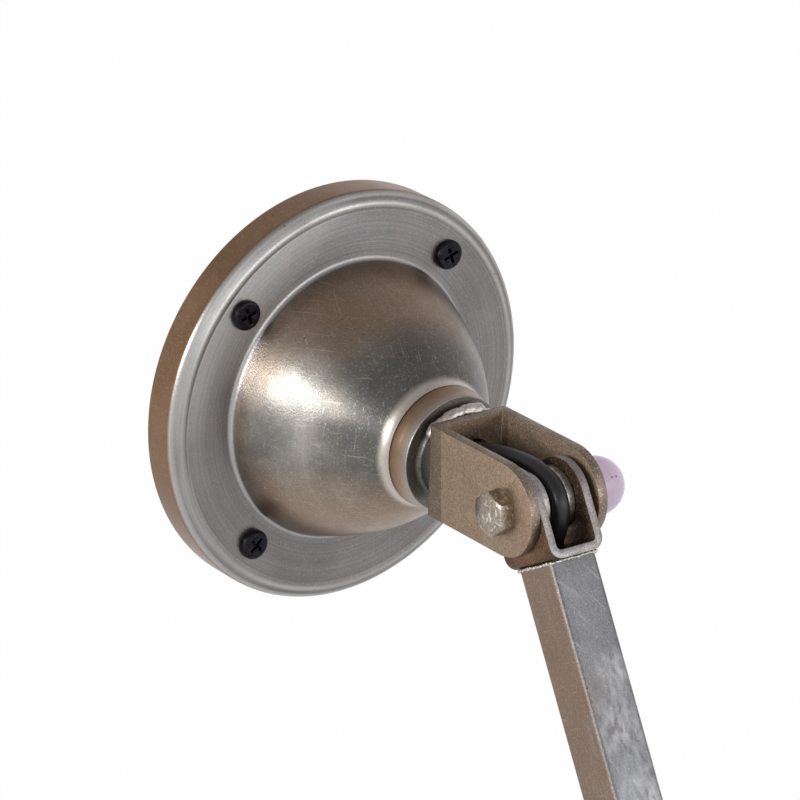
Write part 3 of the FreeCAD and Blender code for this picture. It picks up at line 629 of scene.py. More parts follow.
def bell_tones(sheet, place, local, parts, lines, canopy):
    """Silver, dark grey and brown clouds of the bell, drawn out round its axis, with a painted
    shade band near the neck.
    """
    clouds = sheet.mottle(local, 34.0, 0.40, 0.60, (0.2, 0.6, 0.1))
    films = sheet.mottle(sheet.place_on(place, (1.0, 1.0, 1.8)), 22.0, 0.42, 0.60,
                         (0.5, 0.2, 0.4))
    grey = sheet.scaled(canopy.bell, (0.50, 0.52, 0.53))
    brown = sheet.scaled(canopy.patina, (1.42, 1.58, 1.80))
    tone = sheet.mix(clouds, canopy.bell, grey)
    tone = sheet.lay(tone, grey, lines["Bands"], 0.30)
    tone = sheet.lay(tone, brown, films, 0.40)
    # The bell turns browner towards its top and bottom.
    ends = sheet.span(sheet.maths("ABSOLUTE", sheet.maths("SUBTRACT", parts[1], 0.009)),
                      0.014, 0.032)
    tone = sheet.lay(tone, brown, ends, sheet.span(clouds, 0.0, 1.0, 0.60, 0.95))
    # Painted shade: a dark band on the bell near its neck, over its upper half, hides the lamp's
    # reflection there.
    painted_neck_shade = sheet.times(sheet.span(parts[2], 0.038, 0.050), sheet.span(parts[1], -0.014, 0.000))
    tone = sheet.lay(tone, (0.105, 0.103, 0.098), painted_neck_shade, 0.85)
    return sheet.lay(tone, sheet.scaled(tone, (0.72, 0.71, 0.70)), lines["Lines"], 0.55)


def raw_steel(name, colour, rust, sides=None, rough=0.42, speck=0.30, grain=1300.0, bump=0.16,
              patch=60.0, rusted=0.45, contrast=1.0, place=None, worn=()):
    """Rolled steel strip or tube: grain, cloudy stains, rust film and scratches.

    sides is the colour of its X sides. worn holds points rubbed bright, in place's frame.
    """
    material, sheet, shader = new_finish(name)
    local = sheet.place_on(place)
    grains = sheet.effect(speckle_group(), local, Scale=grain)
    clouds = sheet.mottle(local, patch, 0.40, 0.66)
    film = sheet.mottle(local, patch * 0.45, 0.50, 0.72, (0.3, 0.1, 0.7))
    scratches = sheet.effect(scratch_group(), local, Scale=1150.0)["Mask"]
    base = colour
    if sides is not None:
        facing = sheet.parts(sheet.add("ShaderNodeTexCoord").outputs["Normal"])[0]
        base = sheet.mix(sheet.span(sheet.maths("ABSOLUTE", facing), 0.75, 0.95), base, sides)
    dark = sheet.scaled(base, [1 - depth * contrast for depth in (0.34, 0.37, 0.39)])
    steel = sheet.mix(grains["Grain"], dark, sheet.scaled(base, 1 + 0.35 * contrast))
    steel = sheet.lay(steel, dark, clouds, 0.35)
    steel = sheet.lay(steel, rust, film, rusted)
    if worn:
        drawn = sheet.mottle(sheet.place_on(place, (1.0, 1.0, 0.05)), 700.0, 0.42, 0.66)
        steel = sheet.lay(steel, dark, drawn, 0.45)
        ragged = sheet.mottle(sheet.place_on(place, (1.0, 1.0, 0.45)), 430.0, 0.36, 0.60,
                              (0.1, 0.4, 0.2))
        for point, reach in worn:
            away = sheet.add("ShaderNodeVectorMath", {0: local, 1: point},
                             operation="DISTANCE").outputs["Value"]
            wear_and_highlights = sheet.times(sheet.span(away, reach, reach * 0.10), ragged)
            steel = sheet.lay(steel, (0.42, 0.42, 0.43), wear_and_highlights, 0.70)
    steel = sheet.lay(steel, sheet.scaled(steel, (0.45, 0.42, 0.40)), grains["Pits"], speck)
    steel = sheet.lay(steel, (0.74, 0.66, 0.55), grains["Specks"], speck)
    steel = sheet.lay(steel, (0.60, 0.57, 0.53), scratches, 0.16)
    shine = sheet.maths("ADD", sheet.span(clouds, 0.0, 1.0, rough, rough + 0.14),
                        sheet.times(grains["Grain"], 0.08))
    return finished(material, sheet, shader, steel, shine, grains["Grain"], bump, Metallic=1.0)


def plain_finish(name, colour, rough, metallic, vary=0.12, scale=900.0, bump=0.04, scratched=0.0,
                 **plain):
    """Plated, moulded or painted surface with a light grain and clouding."""
    material, sheet, shader = new_finish(name)
    local = sheet.place_on()
    grain = sheet.effect(speckle_group(), local, Scale=scale)["Grain"]
    clouds = sheet.mottle(local, 70.0, 0.35, 0.70)
    dark = sheet.scaled(colour, 1 - vary * 2)
    coat = sheet.mix(grain, dark, sheet.scaled(colour, 1 + vary))
    coat = sheet.lay(coat, dark, clouds, 0.4)
    if scratched > 0.0:
        scratches = sheet.effect(scratch_group(), local, Scale=640.0)["Mask"]
        nicks = sheet.mottle(local, 560.0, 0.60, 0.68)
        coat = sheet.lay(coat, (0.86, 0.84, 0.80), sheet.maths("MAXIMUM", scratches, nicks),
                         scratched)
    shine = sheet.span(clouds, 0.0, 1.0, rough, rough + vary * 0.6)
    return finished(material, sheet, shader, coat, shine, grain, bump, Metallic=metallic, **plain)


def finish_of(name, make, *values, **named):
    """A finish that several operators share, made by the first that asks for it."""
    return bpy.data.materials.get(name) or make(name, *values, **named)


def zinc_finish(colour):
    return finish_of("Zinc plate", plain_finish, colour.zinc, 0.26, 1.0, vary=0.14, bump=0.06)


def brass_finish():
    return finish_of("Brass", plain_finish, (0.60, 0.42, 0.16), 0.28, 1.0)


def weld_finish(colour):
    return finish_of("Weld metal", raw_steel, colour.weld, colour.patina, rough=0.28, speck=0.5,
                     bump=0.3, rusted=0.4, patch=120.0)


def cord_finish(colour):
    return finish_of("Black cord", plain_finish, colour.cord, 0.30, 0.0, vary=0.25,
                     scale=2200.0, bump=0.05, Specular_IOR_Level=0.40)


def boss_finish(colour):
    """Brown collar with painted shade at its base and a painted highlight paling towards its edge,
    and a near black face and root: dark scale with painted shade beside the fork's web.
    """
    material, sheet, shader = new_finish("Boss steel")
    local = sheet.place_on(WALL)
    along = sheet.parts(local)[2]
    stains = sheet.mottle(local, 70.0, 0.36, 0.66)
    grains = sheet.effect(speckle_group(), local, Scale=1900.0)
    # Painted shade and highlight: the collar darkens towards its base and pales to the bell's
    # colour at its edge.
    dark = sheet.scaled(colour.collar, (0.62, 0.52, 0.46))
    collar = sheet.mix(sheet.span(along, 0.0625, 0.0655), dark, colour.collar)
    collar = sheet.mix(sheet.span(along, 0.0660, 0.0690), collar, colour.bell)
    collar = sheet.lay(collar, dark, stains, 0.4)
    # Dark scale with painted shade: the face and root beside the fork's web are near black.
    scale = sheet.mix(grains["Grain"], (0.055, 0.050, 0.045), (0.150, 0.140, 0.130))
    steel = sheet.mix(sheet.span(along, 0.0694, 0.0697), collar, scale)
    steel = sheet.lay(steel, (0.55, 0.50, 0.45), grains["Specks"], 0.12)
    shine = sheet.span(along, 0.0690, 0.0697, 0.28, 0.45)
    return finished(material, sheet, shader, steel, shine, grains["Grain"], 0.10, Metallic=1.0)


# ---------------------------------------------------------------- shared pieces

def level(height, near=0.01 * MM):
    """Test for edges whose two ends lie at a height."""
    return lambda a, b: abs(a.z - height) < near and abs(b.z - height) < near


def bent_strip(ahead, width, half, plate, reach, offset, bend, hole, cord_hole, inner_bend):
    """Strip bent to a U: round ended ears beside the bolt and a web square to the arm.

    ahead is 1 where the web lies beyond the bolt, and -1 where it lies before it.
    """
    low, high = (-reach, half) if ahead < 0 else (-half, reach)
    ear, web = -half * ahead, reach * ahead
    inside, far = web - plate * ahead, ear - plate * 2 * ahead
    heel = web - 7.2 * MM * ahead
    near = 0.01 * MM
    ear_ends, web_ends, inner_ends = level(ear), level(web), level(inside)
    piece = block((width, half * 2, high - low), (0, offset, (low + high) / 2))
    piece = bevel_edges(piece, lambda a, b: ear_ends(a, b) and abs(a.x - b.x) > near,
                        half * 0.9996, 20)
    piece = bevel_edges(piece, lambda a, b: web_ends(a, b) and abs(a.y - b.y) > near, bend, 6)
    tool = block((width - plate * 2, half * 4, abs(inside - far)),
                 (0, offset, (inside + far) / 2))
    tool = bevel_edges(tool, lambda a, b: inner_ends(a, b) and abs(a.y - b.y) > near,
                       inner_bend, 4)
    piece = cut(piece, tool)
    piece = cut(piece, rod(hole, width * 2, (0, 0, 0), "X"))
    piece = cut(piece, rod(cord_hole, plate * 4, (0, 0.6 * MM, web)))
    only(piece)
    edit()
    bpy.ops.mesh.bisect(plane_co=(0, 0, heel), plane_no=(0, 0.06, 1))
    done()
    for _ in range(3):
        piece.data.materials.append(None)
    for face in piece.data.polygons:
        across_web = abs(face.normal.z) > 0.7 and abs(face.center.z - web) < plate * 1.2
        if abs(face.normal.x) < 0.3 and not across_web:
            face.material_index = 1
        elif (face.center.z - heel) * ahead > 0:
            face.material_index = 2
    return piece


def square(half_x, half_y, middle_x=0.0, height=0.0):
    """Corners of a seam round a square end."""
    return [(half_x * x + middle_x, half_y * y, height)
            for x, y in ((-1, -1), (1, -1), (1, 1), (-1, 1))]


def weld_bead(points, radius, seed, closed=False):
    """Overlapping scales of weld metal along a seam, melted into one bead."""
    chance = random.Random(seed)
    drops = []
    corners = [Vector(point) for point in points]
    if closed:
        corners.append(corners[0])
    for first, second in zip(corners, corners[1:]):
        run = second - first
        count = max(1, round(run.length / (radius * 1.05)))
        for number in range(count):
            middle = first + run * ((number + chance.uniform(0.2, 0.8)) / count)
            jitter = Vector([chance.uniform(-0.2, 0.2) * radius for _ in range(3)])
            deselect()
            bpy.ops.mesh.primitive_ico_sphere_add(
                subdivisions=2, radius=radius * chance.uniform(0.75, 1.15),
                location=middle + jitter,
                scale=[chance.uniform(0.8, 1.15) for _ in range(3)])
            drops.append(bpy.context.object)
    joined(drops)
    piece = fix_place()
    apply(piece, "REMESH", mode="VOXEL", voxel_size=radius * 0.28)
    apply(piece, "SMOOTH", factor=0.5, iterations=2)
    only(piece)
    bpy.ops.object.shade_smooth()
    return piece


def cord_along(points, radius):
    """Round cord on one smooth line, with the route's points as its control points."""
    line = bpy.data.curves.new("cord", "CURVE")
    line.dimensions = "3D"
    spline = line.splines.new("NURBS")
    spline.points.add(len(points) - 1)
    for control, point in zip(spline.points, points):
        control.co = (*point, 1.0)
    spline.order_u = 3
    spline.use_endpoint_u = True
    spline.resolution_u = 14
    line.bevel_depth = radius
    line.bevel_resolution = 8
    line.use_fill_caps = True
    piece = bpy.data.objects.new("cord", line)
    bpy.context.scene.collection.objects.link(piece)
    only(piece)
    bpy.ops.object.convert(target="MESH")
    piece = bpy.context.object
    edit()
    merged()
    bpy.ops.mesh.normals_make_consistent(inside=False)
    done()
    return smooth(piece, 50)


# ---------------------------------------------------------------- operators

class LAMP_OT_canopy(bpy.types.Operator):
    """Spun canopy: side wall, flat flange, foot fillet, bell and neck"""
    bl_idname = "lamp.canopy"
    bl_label = "Canopy"
    bl_options = {"REGISTER", "UNDO"}

    def execute(self, context):
        size, colour = panel_values(context)
        top = size.canopy_height
        rim = size.canopy_radius
        skin = 1.5 * MM
        screw_hole = 2.8 * MM
        canopy = turned([
            (rim - skin, 0), (rim, 0), (rim, size.canopy_wall),
            (rim - 1.2 * MM, 11.95 * MM, 2.4 * MM), (rim - 3.2 * MM, 13.10 * MM),
            (rim - 4.7 * MM, top, 3.0 * MM), (rim - 5.2 * MM, top),
            (rim - 5.8 * MM, top - 0.12 * MM, -1.6 * MM), (rim - 6.4 * MM, top, -1.6 * MM),
            (size.bell_foot, top), mm(46.97, 14.96, -2.0), (22.0 * MM, 58.0 * MM, size.bell_curve),
            mm(20.4, 62.0, -5.8), mm(10.05, 62.0), mm(10.05, 60.5), mm(18.9, 60.5),
            mm(20.93, 56.95, 7.3), mm(45.53, 14.55, -98.5),
            (size.bell_foot, top - skin, 3.5 * MM), (rim - 5.0 * MM, top - skin),
            (rim - skin - 0.4 * MM, 10.4 * MM), (rim - skin, size.canopy_wall, -0.75 * MM),
        ], around=144)
        for place in screw_places(size, top):
            canopy = cut(canopy, rod(screw_hole, 8 * MM, place, sides=24))
        seat(smooth(canopy, 28), WALL)
        steel = spun_steel("Spun steel", WALL, colour.flange, colour.patina, canopy=colour)
        settle(canopy, "spun_canopy", "canopy", steel, "steel_canopy", "canopy")
        return {"FINISHED"}


class LAMP_OT_wall_screws(bpy.types.Operator):
    """Four pan head screws with a cross recess"""
    bl_idname = "lamp.wall_screws"
    bl_label = "Wall Screws"
    bl_options = {"REGISTER", "UNDO"}

    def execute(self, context):
        size, colour = panel_values(context)
        top = size.canopy_height
        head = top + 2.4 * MM
        outer, root, neck = 2.5 * MM, 2.12 * MM, 2.2 * MM
        threads = []
        for number in range(26):
            low = top - 24 * MM + number * 0.8 * MM
            threads += [(outer, low), (root, low + 0.4 * MM)]
        screw = turned([
            (0, top - 25 * MM), (1.8 * MM, top - 25 * MM), (root, top - 24.5 * MM), *threads,
            (neck, top - 3 * MM), (neck, top), (5.0 * MM, top), (5.0 * MM, top + 1.3 * MM),
            (3.9 * MM, head, 1.12 * MM), (0, head),
        ], closed=False, around=48)
        for long, wide in (mm(5.7, 1.1), mm(1.1, 5.7)):
            slot = block((long, wide, 3.2 * MM), (0, 0, head))
            screw = cut(screw, bevel_edges(
                slot, lambda a, b: a.z < head and b.z < head, 0.45 * MM, 2))
        smooth(softened(screw, 0.06 * MM), 40)
        screws = [seat(twin(screw), shifted(WALL, *place) @ Matrix.Rotation(spin, 4, "Z"))
                  for place, spin in zip(screw_places(size, 0), (0.35, 1.9, 0.75, 2.6))]
        bpy.data.objects.remove(screw)
        black = plain_finish("Blackened screw", colour.black, 0.32, 1.0, vary=0.3, bump=0.08)
        settle(joined(screws), "black_wall_screws", "canopy", black, "black_screw", "wall_screws")
        return {"FINISHED"}


class LAMP_OT_swivel(bpy.types.Operator):
    """Boss that turns in the canopy's neck, its washer and nut, and the weld to the fork"""
    bl_idname = "lamp.swivel"
    bl_label = "Swivel"
    bl_options = {"REGISTER", "UNDO"}

    def execute(self, context):
        size, colour = panel_values(context)
        face = size.pivot_out - size.fork_reach
        boss = turned([
            mm(8.0, 49.0), mm(10.0, 49.0), mm(10.0, 62.05), mm(20.0, 62.05),
            mm(20.4, 62.45, 0.4), mm(20.4, 63.4), mm(19.3, 69.2, -16), mm(18.9, 69.6, 0.4),
            mm(15.8, 69.6), mm(14.2, 71.2, -1.6), (14.2 * MM, face), (8.0 * MM, face),
        ])
        seat(smooth(boss, 28), WALL)
        settle(boss, "turned_boss", "wall_fork", boss_finish(colour), "steel_canopy",
               "swivel_boss")
        beads = []
        for seed, low, high, thick, wide in ((11, 50, 136, 2.3 * MM, 16.4 * MM),
                                             (12, 218, 322, 1.25 * MM, 15.0 * MM)):
            turns = [math.radians(low + (high - low) * number / 20) for number in range(21)]
            arc = [(wide * math.cos(turn), (wide - 0.8 * MM) * math.sin(turn), face - thick)
                   for turn in turns]
            beads.append(seat(weld_bead(arc, thick, seed), WALL))
        settle(joined(beads), "boss_weld", "wall_fork", weld_finish(colour), "steel_plate")
        for node in ("swivel_nut", "swivel_washer"):
            dress(node, zinc_finish(colour))
        return {"FINISHED"}


class LAMP_OT_terminals(bpy.types.Operator):
    """Strip, terminal block and earth screw inside the canopy, and the feed cord"""
    bl_idname = "lamp.terminals"
    bl_label = "Terminals"
    bl_options = {"REGISTER", "UNDO"}

    def execute(self, context):
        colour = panel_values(context)[1]
        dress("terminal_strip", plain_finish("Strip zinc", (0.42, 0.41, 0.38), 0.35, 1.0))
        white = plain_finish("Block white", (0.76, 0.75, 0.71), 0.45, 0.0, vary=0.04)
        settle(refined("terminal_block", 0.5 * MM), "white_terminal_block", "canopy", white,
               "white_block", "terminal_block")
        dress("earth_screw", brass_finish())
        for node in ("feed_cord", "lower_arm_cord", "upper_arm_cord", "lampholder_cord"):
            dress(node, cord_finish(colour))
        return {"FINISHED"}


class LAMP_OT_forks(bpy.types.Operator):
    """Bent strip forks and links of the three pivots"""
    bl_idname = "lamp.forks"
    bl_label = "Forks and Links"
    bl_options = {"REGISTER", "UNDO"}

    def execute(self, context):
        size, colour = panel_values(context)
        finishes = {
            name: raw_steel(name, shade, rust, rough=rough, rusted=rusted, grain=grain,
                            patch=patch, speck=speck)
            for name, shade, rust, rough, rusted, grain, patch, speck in (
                ("Fork steel", colour.plate, colour.rust, 0.42, 0.22, 1900.0, 34.0, 0.34),
                ("Fork heel steel", [share * 0.66 for share in colour.plate], colour.rust,
                 0.44, 0.30, 1900.0, 60.0, 0.30),
                ("Link heel steel", (0.105, 0.068, 0.043), (0.250, 0.115, 0.046),
                 0.46, 0.60, 1500.0, 150.0, 0.12),
                ("Link steel", colour.link, colour.rust, 0.38, 0.65, 1700.0, 60.0, 0.30),
                ("Fork edge", colour.edge, colour.patina, 0.34, 0.50, 1700.0, 150.0, 0.50),
                ("Link edge", colour.worn, colour.patina, 0.28, 0.30, 1700.0, 150.0, 0.30))}
        fork = bent_strip(-1, size.fork_width, size.fork_half, size.fork_plate, size.fork_reach,
                          size.rise, *mm(1.5, 4.0, 8.2, 0.3))
        smooth(softened(fork, 0.38 * MM))
        link = bent_strip(1, size.link_width, size.link_half, size.link_plate, size.link_reach,
                          *mm(2.1, 4.2, 4.05, 5.0, 1.6))
        smooth(softened(link, 0.30 * MM))
        for name, (inner, outer) in pivot_frames(size).items():
            for kind, model, place, body in (
                    ("Fork", fork, inner, CARRIER[name]),
                    ("Link", link, shifted(outer, -size.link_side, 0, 0), CARRIED[name])):
                settle(seat(twin(model), place), f"{name}_bent_{kind.lower()}", body,
                       tuple(finishes[f"{kind} {part}"] for part in ("steel", "edge",
                                                                     "heel steel")),
                       "steel_plate", f"{name}_{kind.lower()}")
        bpy.data.objects.remove(fork)
        bpy.data.objects.remove(link)
        return {"FINISHED"}


class LAMP_OT_pivots(bpy.types.Operator):
    """Bolt, nut, dome cap, washers and grooved roller of each pivot"""
    bl_idname = "lamp.pivots"
    bl_label = "Pivot Hardware"
    bl_options = {"REGISTER", "UNDO"}

    def execute(self, context):
        size, colour = panel_values(context)
        ground = plain_finish("Ground washer", (0.40, 0.385, 0.37), 0.30, 1.0, vary=0.2)
        lilac = plain_finish("Lilac cap", colour.cap, 0.24, 0.0, vary=0.03, bump=0.01,
                             Subsurface_Weight=0.35, Subsurface_Scale=0.004,
                             Coat_Weight=0.25, Coat_Roughness=0.15)
        bright = plain_finish("Bolt zinc", colour.bolt, 0.30, 1.0, vary=0.2, bump=0.12,
                              scratched=0.7)
        turned_steel = plain_finish("Roller steel", colour.roller, 0.30, 1.0, vary=0.22)
        side = size.fork_width / 2
        dome = size.cap_radius
        bore = 7.9 * MM
        soft = 0.4 * MM
        cap = turned([
            (bore, side), (dome - soft, side), (dome, side + soft, soft), (dome, side + 7 * MM),
            (0, side + 16.5 * MM, dome), (0, side + 10 * MM), (bore, side + 10 * MM),
        ], around=72)
        for out, along in ((9.5 * MM, side + 7.5 * MM), (9.2 * MM, side + 9.4 * MM)):
            pinhole = rod(0.35 * MM, 1.4 * MM, (out, 0, along), "X", 16)
            cap = cut(cap, seat(pinhole, Matrix.Rotation(math.radians(144.5), 4, "Z")))
        smooth(cap, 40)
        washer = turned([mm(*point) for point in (
            (4.2, 0.1), (4.3, 0), (8.25, 0), (8.4, 0.15), (8.4, 0.95), (8.25, 1.1), (4.3, 1.1),
            (4.2, 1.0))], around=64)
        smooth(washer, 30)
        half = size.link_width / 2 - size.link_plate - 0.15 * MM
        left = -half - size.link_side
        right = half - size.link_side
        groove, floor, bolt = 3.4 * MM, 8.8 * MM, 4.05 * MM
        rim = size.roller_radius
        soft = 0.5 * MM
        roller = turned([
            (bolt, left), (rim - soft, left), (rim, left + soft, soft), (rim, -groove - soft),
            (rim - soft, -groove, soft), (floor, -groove), (floor, groove, -3.41 * MM),
            (rim - soft, groove), (rim, groove + soft, soft), (rim, right - soft),
            (rim - soft, right, soft), (bolt, right),
        ], around=72)
        smooth(roller, 30)
        gap = side - size.fork_plate
        for name, (inner, outer) in pivot_frames(size).items():
            line = across(inner)
            for piece, kind, body, finish, slot, node in (
                    (seat(twin(cap), line), "dome_cap", CARRIER, lilac, "lilac_cap", "cap"),
                    (joined([seat(twin(washer), shifted(line, 0, 0, gap - number * 1.1 * MM))
                             for number in (1, 2)]),
                     "ground_washers", CARRIER, ground, "steel_washer", "washers"),
                    (seat(twin(roller), across(outer)), "roller", CARRIED, turned_steel,
                     "steel_roller", "spool"),
                    (refined(f"{name}_bolt", 0.22 * MM), "hex_bolt", CARRIER, bright,
                     "zinc_hardware", "bolt")):
                settle(piece, f"{name}_{kind}", body[name], finish, slot, f"{name}_{node}")
            dress(f"{name}_nut", zinc_finish(colour))
        for piece in (cap, washer, roller):
            bpy.data.objects.remove(piece)
        return {"FINISHED"}


class LAMP_OT_cords(bpy.types.Operator):
    """Cord over the roller of each pivot"""
    bl_idname = "lamp.cords"
    bl_label = "Pivot Cords"
    bl_options = {"REGISTER", "UNDO"}

    def execute(self, context):
        size, colour = panel_values(context)
        tilts = {"shoulder": size.lower_tilt - QUARTER,
                 "elbow": size.upper_tilt - size.lower_tilt,
                 "head": size.head_tilt - size.upper_tilt}
        for name, (inner, outer) in pivot_frames(size).items():
            side = math.copysign(1, tilts[name])
            points = [place @ Vector((0, high, along)) for place, high, along in (
                (inner, size.rise, -53 * MM),
                (inner, size.rise, -46 * MM),
                (inner, side * 7.4 * MM, -27 * MM),
                (inner, side * 11.3 * MM, -2 * MM),
                (outer, side * 11.4 * MM, 0.6 * MM),
                (outer, side * 6.5 * MM, 9.3 * MM),
                (outer, size.rise, 14 * MM),
                (outer, size.rise, size.link_reach))]
            if abs(tilts[name]) > math.radians(65):
                over, under = (place.to_3x3() @ Vector((0, side, 0)) for place in (inner, outer))
                middle = (over + under).normalized() * 12.6 * MM
                points.insert(4, inner.translation + middle)
            piece = cord_along(points, size.cord_radius)
            settle(piece, f"{name}_cord_bend", None, cord_finish(colour), "black_cord",
                   f"{name}_cord")
            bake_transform(piece)
        return {"FINISHED"}


class LAMP_OT_arms(bpy.types.Operator):
    """Square tube arms and the welds at their ends"""
    bl_idname = "lamp.arms"
    bl_label = "Arms"
    bl_options = {"REGISTER", "UNDO"}

    def execute(self, context):
        size, colour = panel_values(context)
        half = size.tube_half
        hollow = half * 2 - size.tube_wall * 2
        face = 0.0096
        worn = [((x, face, along), reach) for x, along, reach in (
            (0.001, 0.074, 0.013), (0.004, 0.057, 0.009), (0.006, 0.098, 0.018),
            (-0.004, 0.150, 0.022))]
        frames = pivot_frames(size)
        for number, (name, pivot, long) in enumerate((
                ("lower", "shoulder", size.lower_length), ("upper", "elbow", size.upper_length))):
            arm = f"{name}_arm"
            start = frames[pivot][1]
            span = long - size.link_reach - size.fork_reach
            tube = block((half * 2, half * 2, span), (0, 0, span / 2))
            tube = bevel_edges(tube, lambda a, b: abs(a.z - b.z) > half, 1.8 * MM, 6)
            tube = cut(tube, block((hollow, hollow, span * 1.2), (0, 0, span / 2)))
            smooth(tube, 30)
            steel = raw_steel(
                f"{name.title()} tube steel", colour.tube, colour.patina, sides=colour.flank,
                rough=0.30, speck=0.10, grain=1900.0, bump=0.07, patch=48.0, rusted=0.30,
                contrast=0.80, place=start, worn=worn)
            seat(tube, shifted(start, 0, size.rise, size.link_reach))
            settle(tube, f"{arm}_square_tube", arm, steel, "steel_tube", f"{arm}_tube")
            for end, height, inset in (("near", size.link_reach, 0.5 * MM),
                                       ("far", size.link_reach + span, -0.5 * MM)):
                bead = weld_bead(square(half, half), 0.7 * MM,
                                 20 + number * 2 + (end == "far"), closed=True)
                seat(bead, shifted(start, 0, size.rise, height + inset))
                settle(bead, f"{arm}_{end}_weld", arm, weld_finish(colour), "steel_plate")
        return {"FINISHED"}


class LAMP_OT_head(bpy.types.Operator):
    """Holder cup, lampholder, ring, shade and bulb"""
    bl_idname = "lamp.head"
    bl_label = "Shade and Lampholder"
    bl_options = {"REGISTER", "UNDO"}

    def execute(self, context):
        size, colour = panel_values(context)
        place = shifted(pivot_frames(size)["head"][1], 0, size.rise, 0)
        top = size.link_reach
        bottom = top + 52 * MM
        mouth = top + 6 * MM + 56 * MM
        bakelite = plain_finish("Bakelite", colour.bakelite, 0.30, 0.0, vary=0.2, bump=0.03,
                                Coat_Weight=0.2, Coat_Roughness=0.2)
        steel = raw_steel("Holder steel", colour.plate, colour.rust, rough=0.38, rusted=0.2)
        outside = spun_steel("Shade steel", place, colour.flange, colour.patina, rough=0.32)
        enamel = plain_finish("White enamel", colour.enamel, 0.22, 0.0, vary=0.02, scale=500.0,
                              bump=0.02, Coat_Weight=0.3)
        opal = plain_finish("Opal glass", (0.90, 0.89, 0.85), 0.16, 0.0, vary=0.01, bump=0.0,
                            Coat_Weight=0.5)
        seam = square(10.3 * MM, 12.4 * MM, -size.link_side, top - 0.2 * MM)
        for piece, name, finish, slot, nodes in (
                (smooth(self.cup(size, top, bottom), 28), "holder_cup", steel, "steel_plate",
                 ["shade_holder"]),
                (weld_bead(seam, 0.85 * MM, 31, closed=True), "holder_weld",
                 weld_finish(colour), "steel_plate", []),
                (smooth(self.socket(top + 6 * MM, mouth), 28), "bakelite_lampholder", bakelite,
                 "bakelite", ["lampholder"]),
                (smooth(self.ring(bottom + 1.2 * MM), 30), "ribbed_ring", bakelite, "bakelite",
                 ["shade_ring"]),
                (smooth(self.shade(size, bottom), 30), "spun_shade", outside, "steel_shade",
                 ["shade"]),
                (smooth(self.bulb(mouth), 60), "opal_bulb", opal, "bulb_glass",
                 ["bulb_glass"])):
            settle(seat(piece, place), name, "shade_head", finish, slot, *nodes)
        self.line_shade(bpy.data.objects["spun_shade"], place.translation, enamel)
        dress("bulb_cap", brass_finish())
        return {"FINISHED"}

    @staticmethod
    def cup(size, top, bottom):
        edge = size.holder_radius
        lip = 26 * MM
        return turned([
            (8 * MM, top), (edge - 6 * MM, top), (edge, top + 6 * MM, 6 * MM),
            (edge, bottom - 3 * MM), (edge + 1 * MM, bottom - 2 * MM, -1 * MM),
            (25.6 * MM, bottom - 2 * MM), (lip, bottom - 1.6 * MM, 0.4 * MM), (lip, bottom),
            (edge - 2 * MM, bottom), (edge - 2 * MM, top + 6 * MM),
            (edge - 6 * MM, top + 2 * MM, -4 * MM), (8 * MM, top + 2 * MM),
        ])

    @staticmethod
    def socket(back, mouth):
        edge = 17.5 * MM
        bore = 13.4 * MM
        floor = back + 28.4 * MM
        return turned([
            (0, back), (16.5 * MM, back), (edge, back + 1 * MM, 1 * MM),
            (edge, mouth - 0.8 * MM), (16.7 * MM, mouth, 0.8 * MM), (14.0 * MM, mouth),
            (bore, mouth - 0.6 * MM, 0.6 * MM), (bore, floor), (0, floor),
        ], closed=False, around=72)

    @staticmethod
    def ring(low):
        """Screwed ring with 36 ribs for the fingers."""
        edge = 22.3 * MM
        pieces = [turned([
            (17.5 * MM, low), (22.0 * MM, low), (edge, low + 0.3 * MM), (edge, low + 3.4 * MM),
            (21.7 * MM, low + 4 * MM, 0.6 * MM), (17.5 * MM, low + 4 * MM),
        ])]
        for number in range(36):
            rib = block(mm(1.4, 1.5, 3.2), (22.2 * MM, 0, low + 1.7 * MM))
            rib = bevel_edges(rib, lambda a, b: abs(a.z - b.z) > MM and a.x > 22.2 * MM,
                              0.5 * MM, 2)
            pieces.append(seat(rib, Matrix.Rotation(math.tau * number / 36, 4, "Z")))
        return joined(pieces)

    @staticmethod
    def bulb(glass):
        end = glass - 26 * MM + 105 * MM
        globe = 30 * MM
        middle = end - globe
        bulb = turned([
            (0, glass), (13.1 * MM, glass), (14.5 * MM, glass + 8 * MM),
            (27 * MM, middle - 13 * MM), (globe, middle, globe), (0, end, globe),
        ], closed=False, around=72)
        return apply(bulb, "SUBSURF", levels=1, render_levels=1)

    @staticmethod
    def shade(size, bottom):
        """Spun shade with a rolled lip."""
        hole, crown, skin, lip, curve = mm(17.7, 27, 1.2, 2.0, 52)
        waist = size.shade_waist
        depth = bottom + 38 * MM
        mouth = size.shade_mouth
        rim = bottom + 92.6 * MM
        return turned([
            (hole, bottom), (crown, bottom), (waist, depth, curve),
            (mouth - lip * 0.8090, rim - lip * 0.5878),
            (mouth + lip * 0.9397, rim - lip * 0.3420, lip),
            (mouth - lip * 0.1736, rim + lip * 0.9848, lip),
            (mouth - lip * 0.9848, rim + lip * 0.1736, lip),
            (waist - skin, depth), (crown, bottom + skin, -(curve - skin)),
            (hole, bottom + skin),
        ], around=144)

    @staticmethod
    def line_shade(shade, axis, enamel):
        """Give the shade's inside and its lip's underside the white finish."""
        shade.data.materials.append(enamel)
        for face in shade.data.polygons:
            out = Vector((face.center.x - axis.x, face.center.y - axis.y, 0)).normalized()
            if face.normal.dot(out) < -0.05 or face.normal.z < -0.6:
                face.material_index = 1


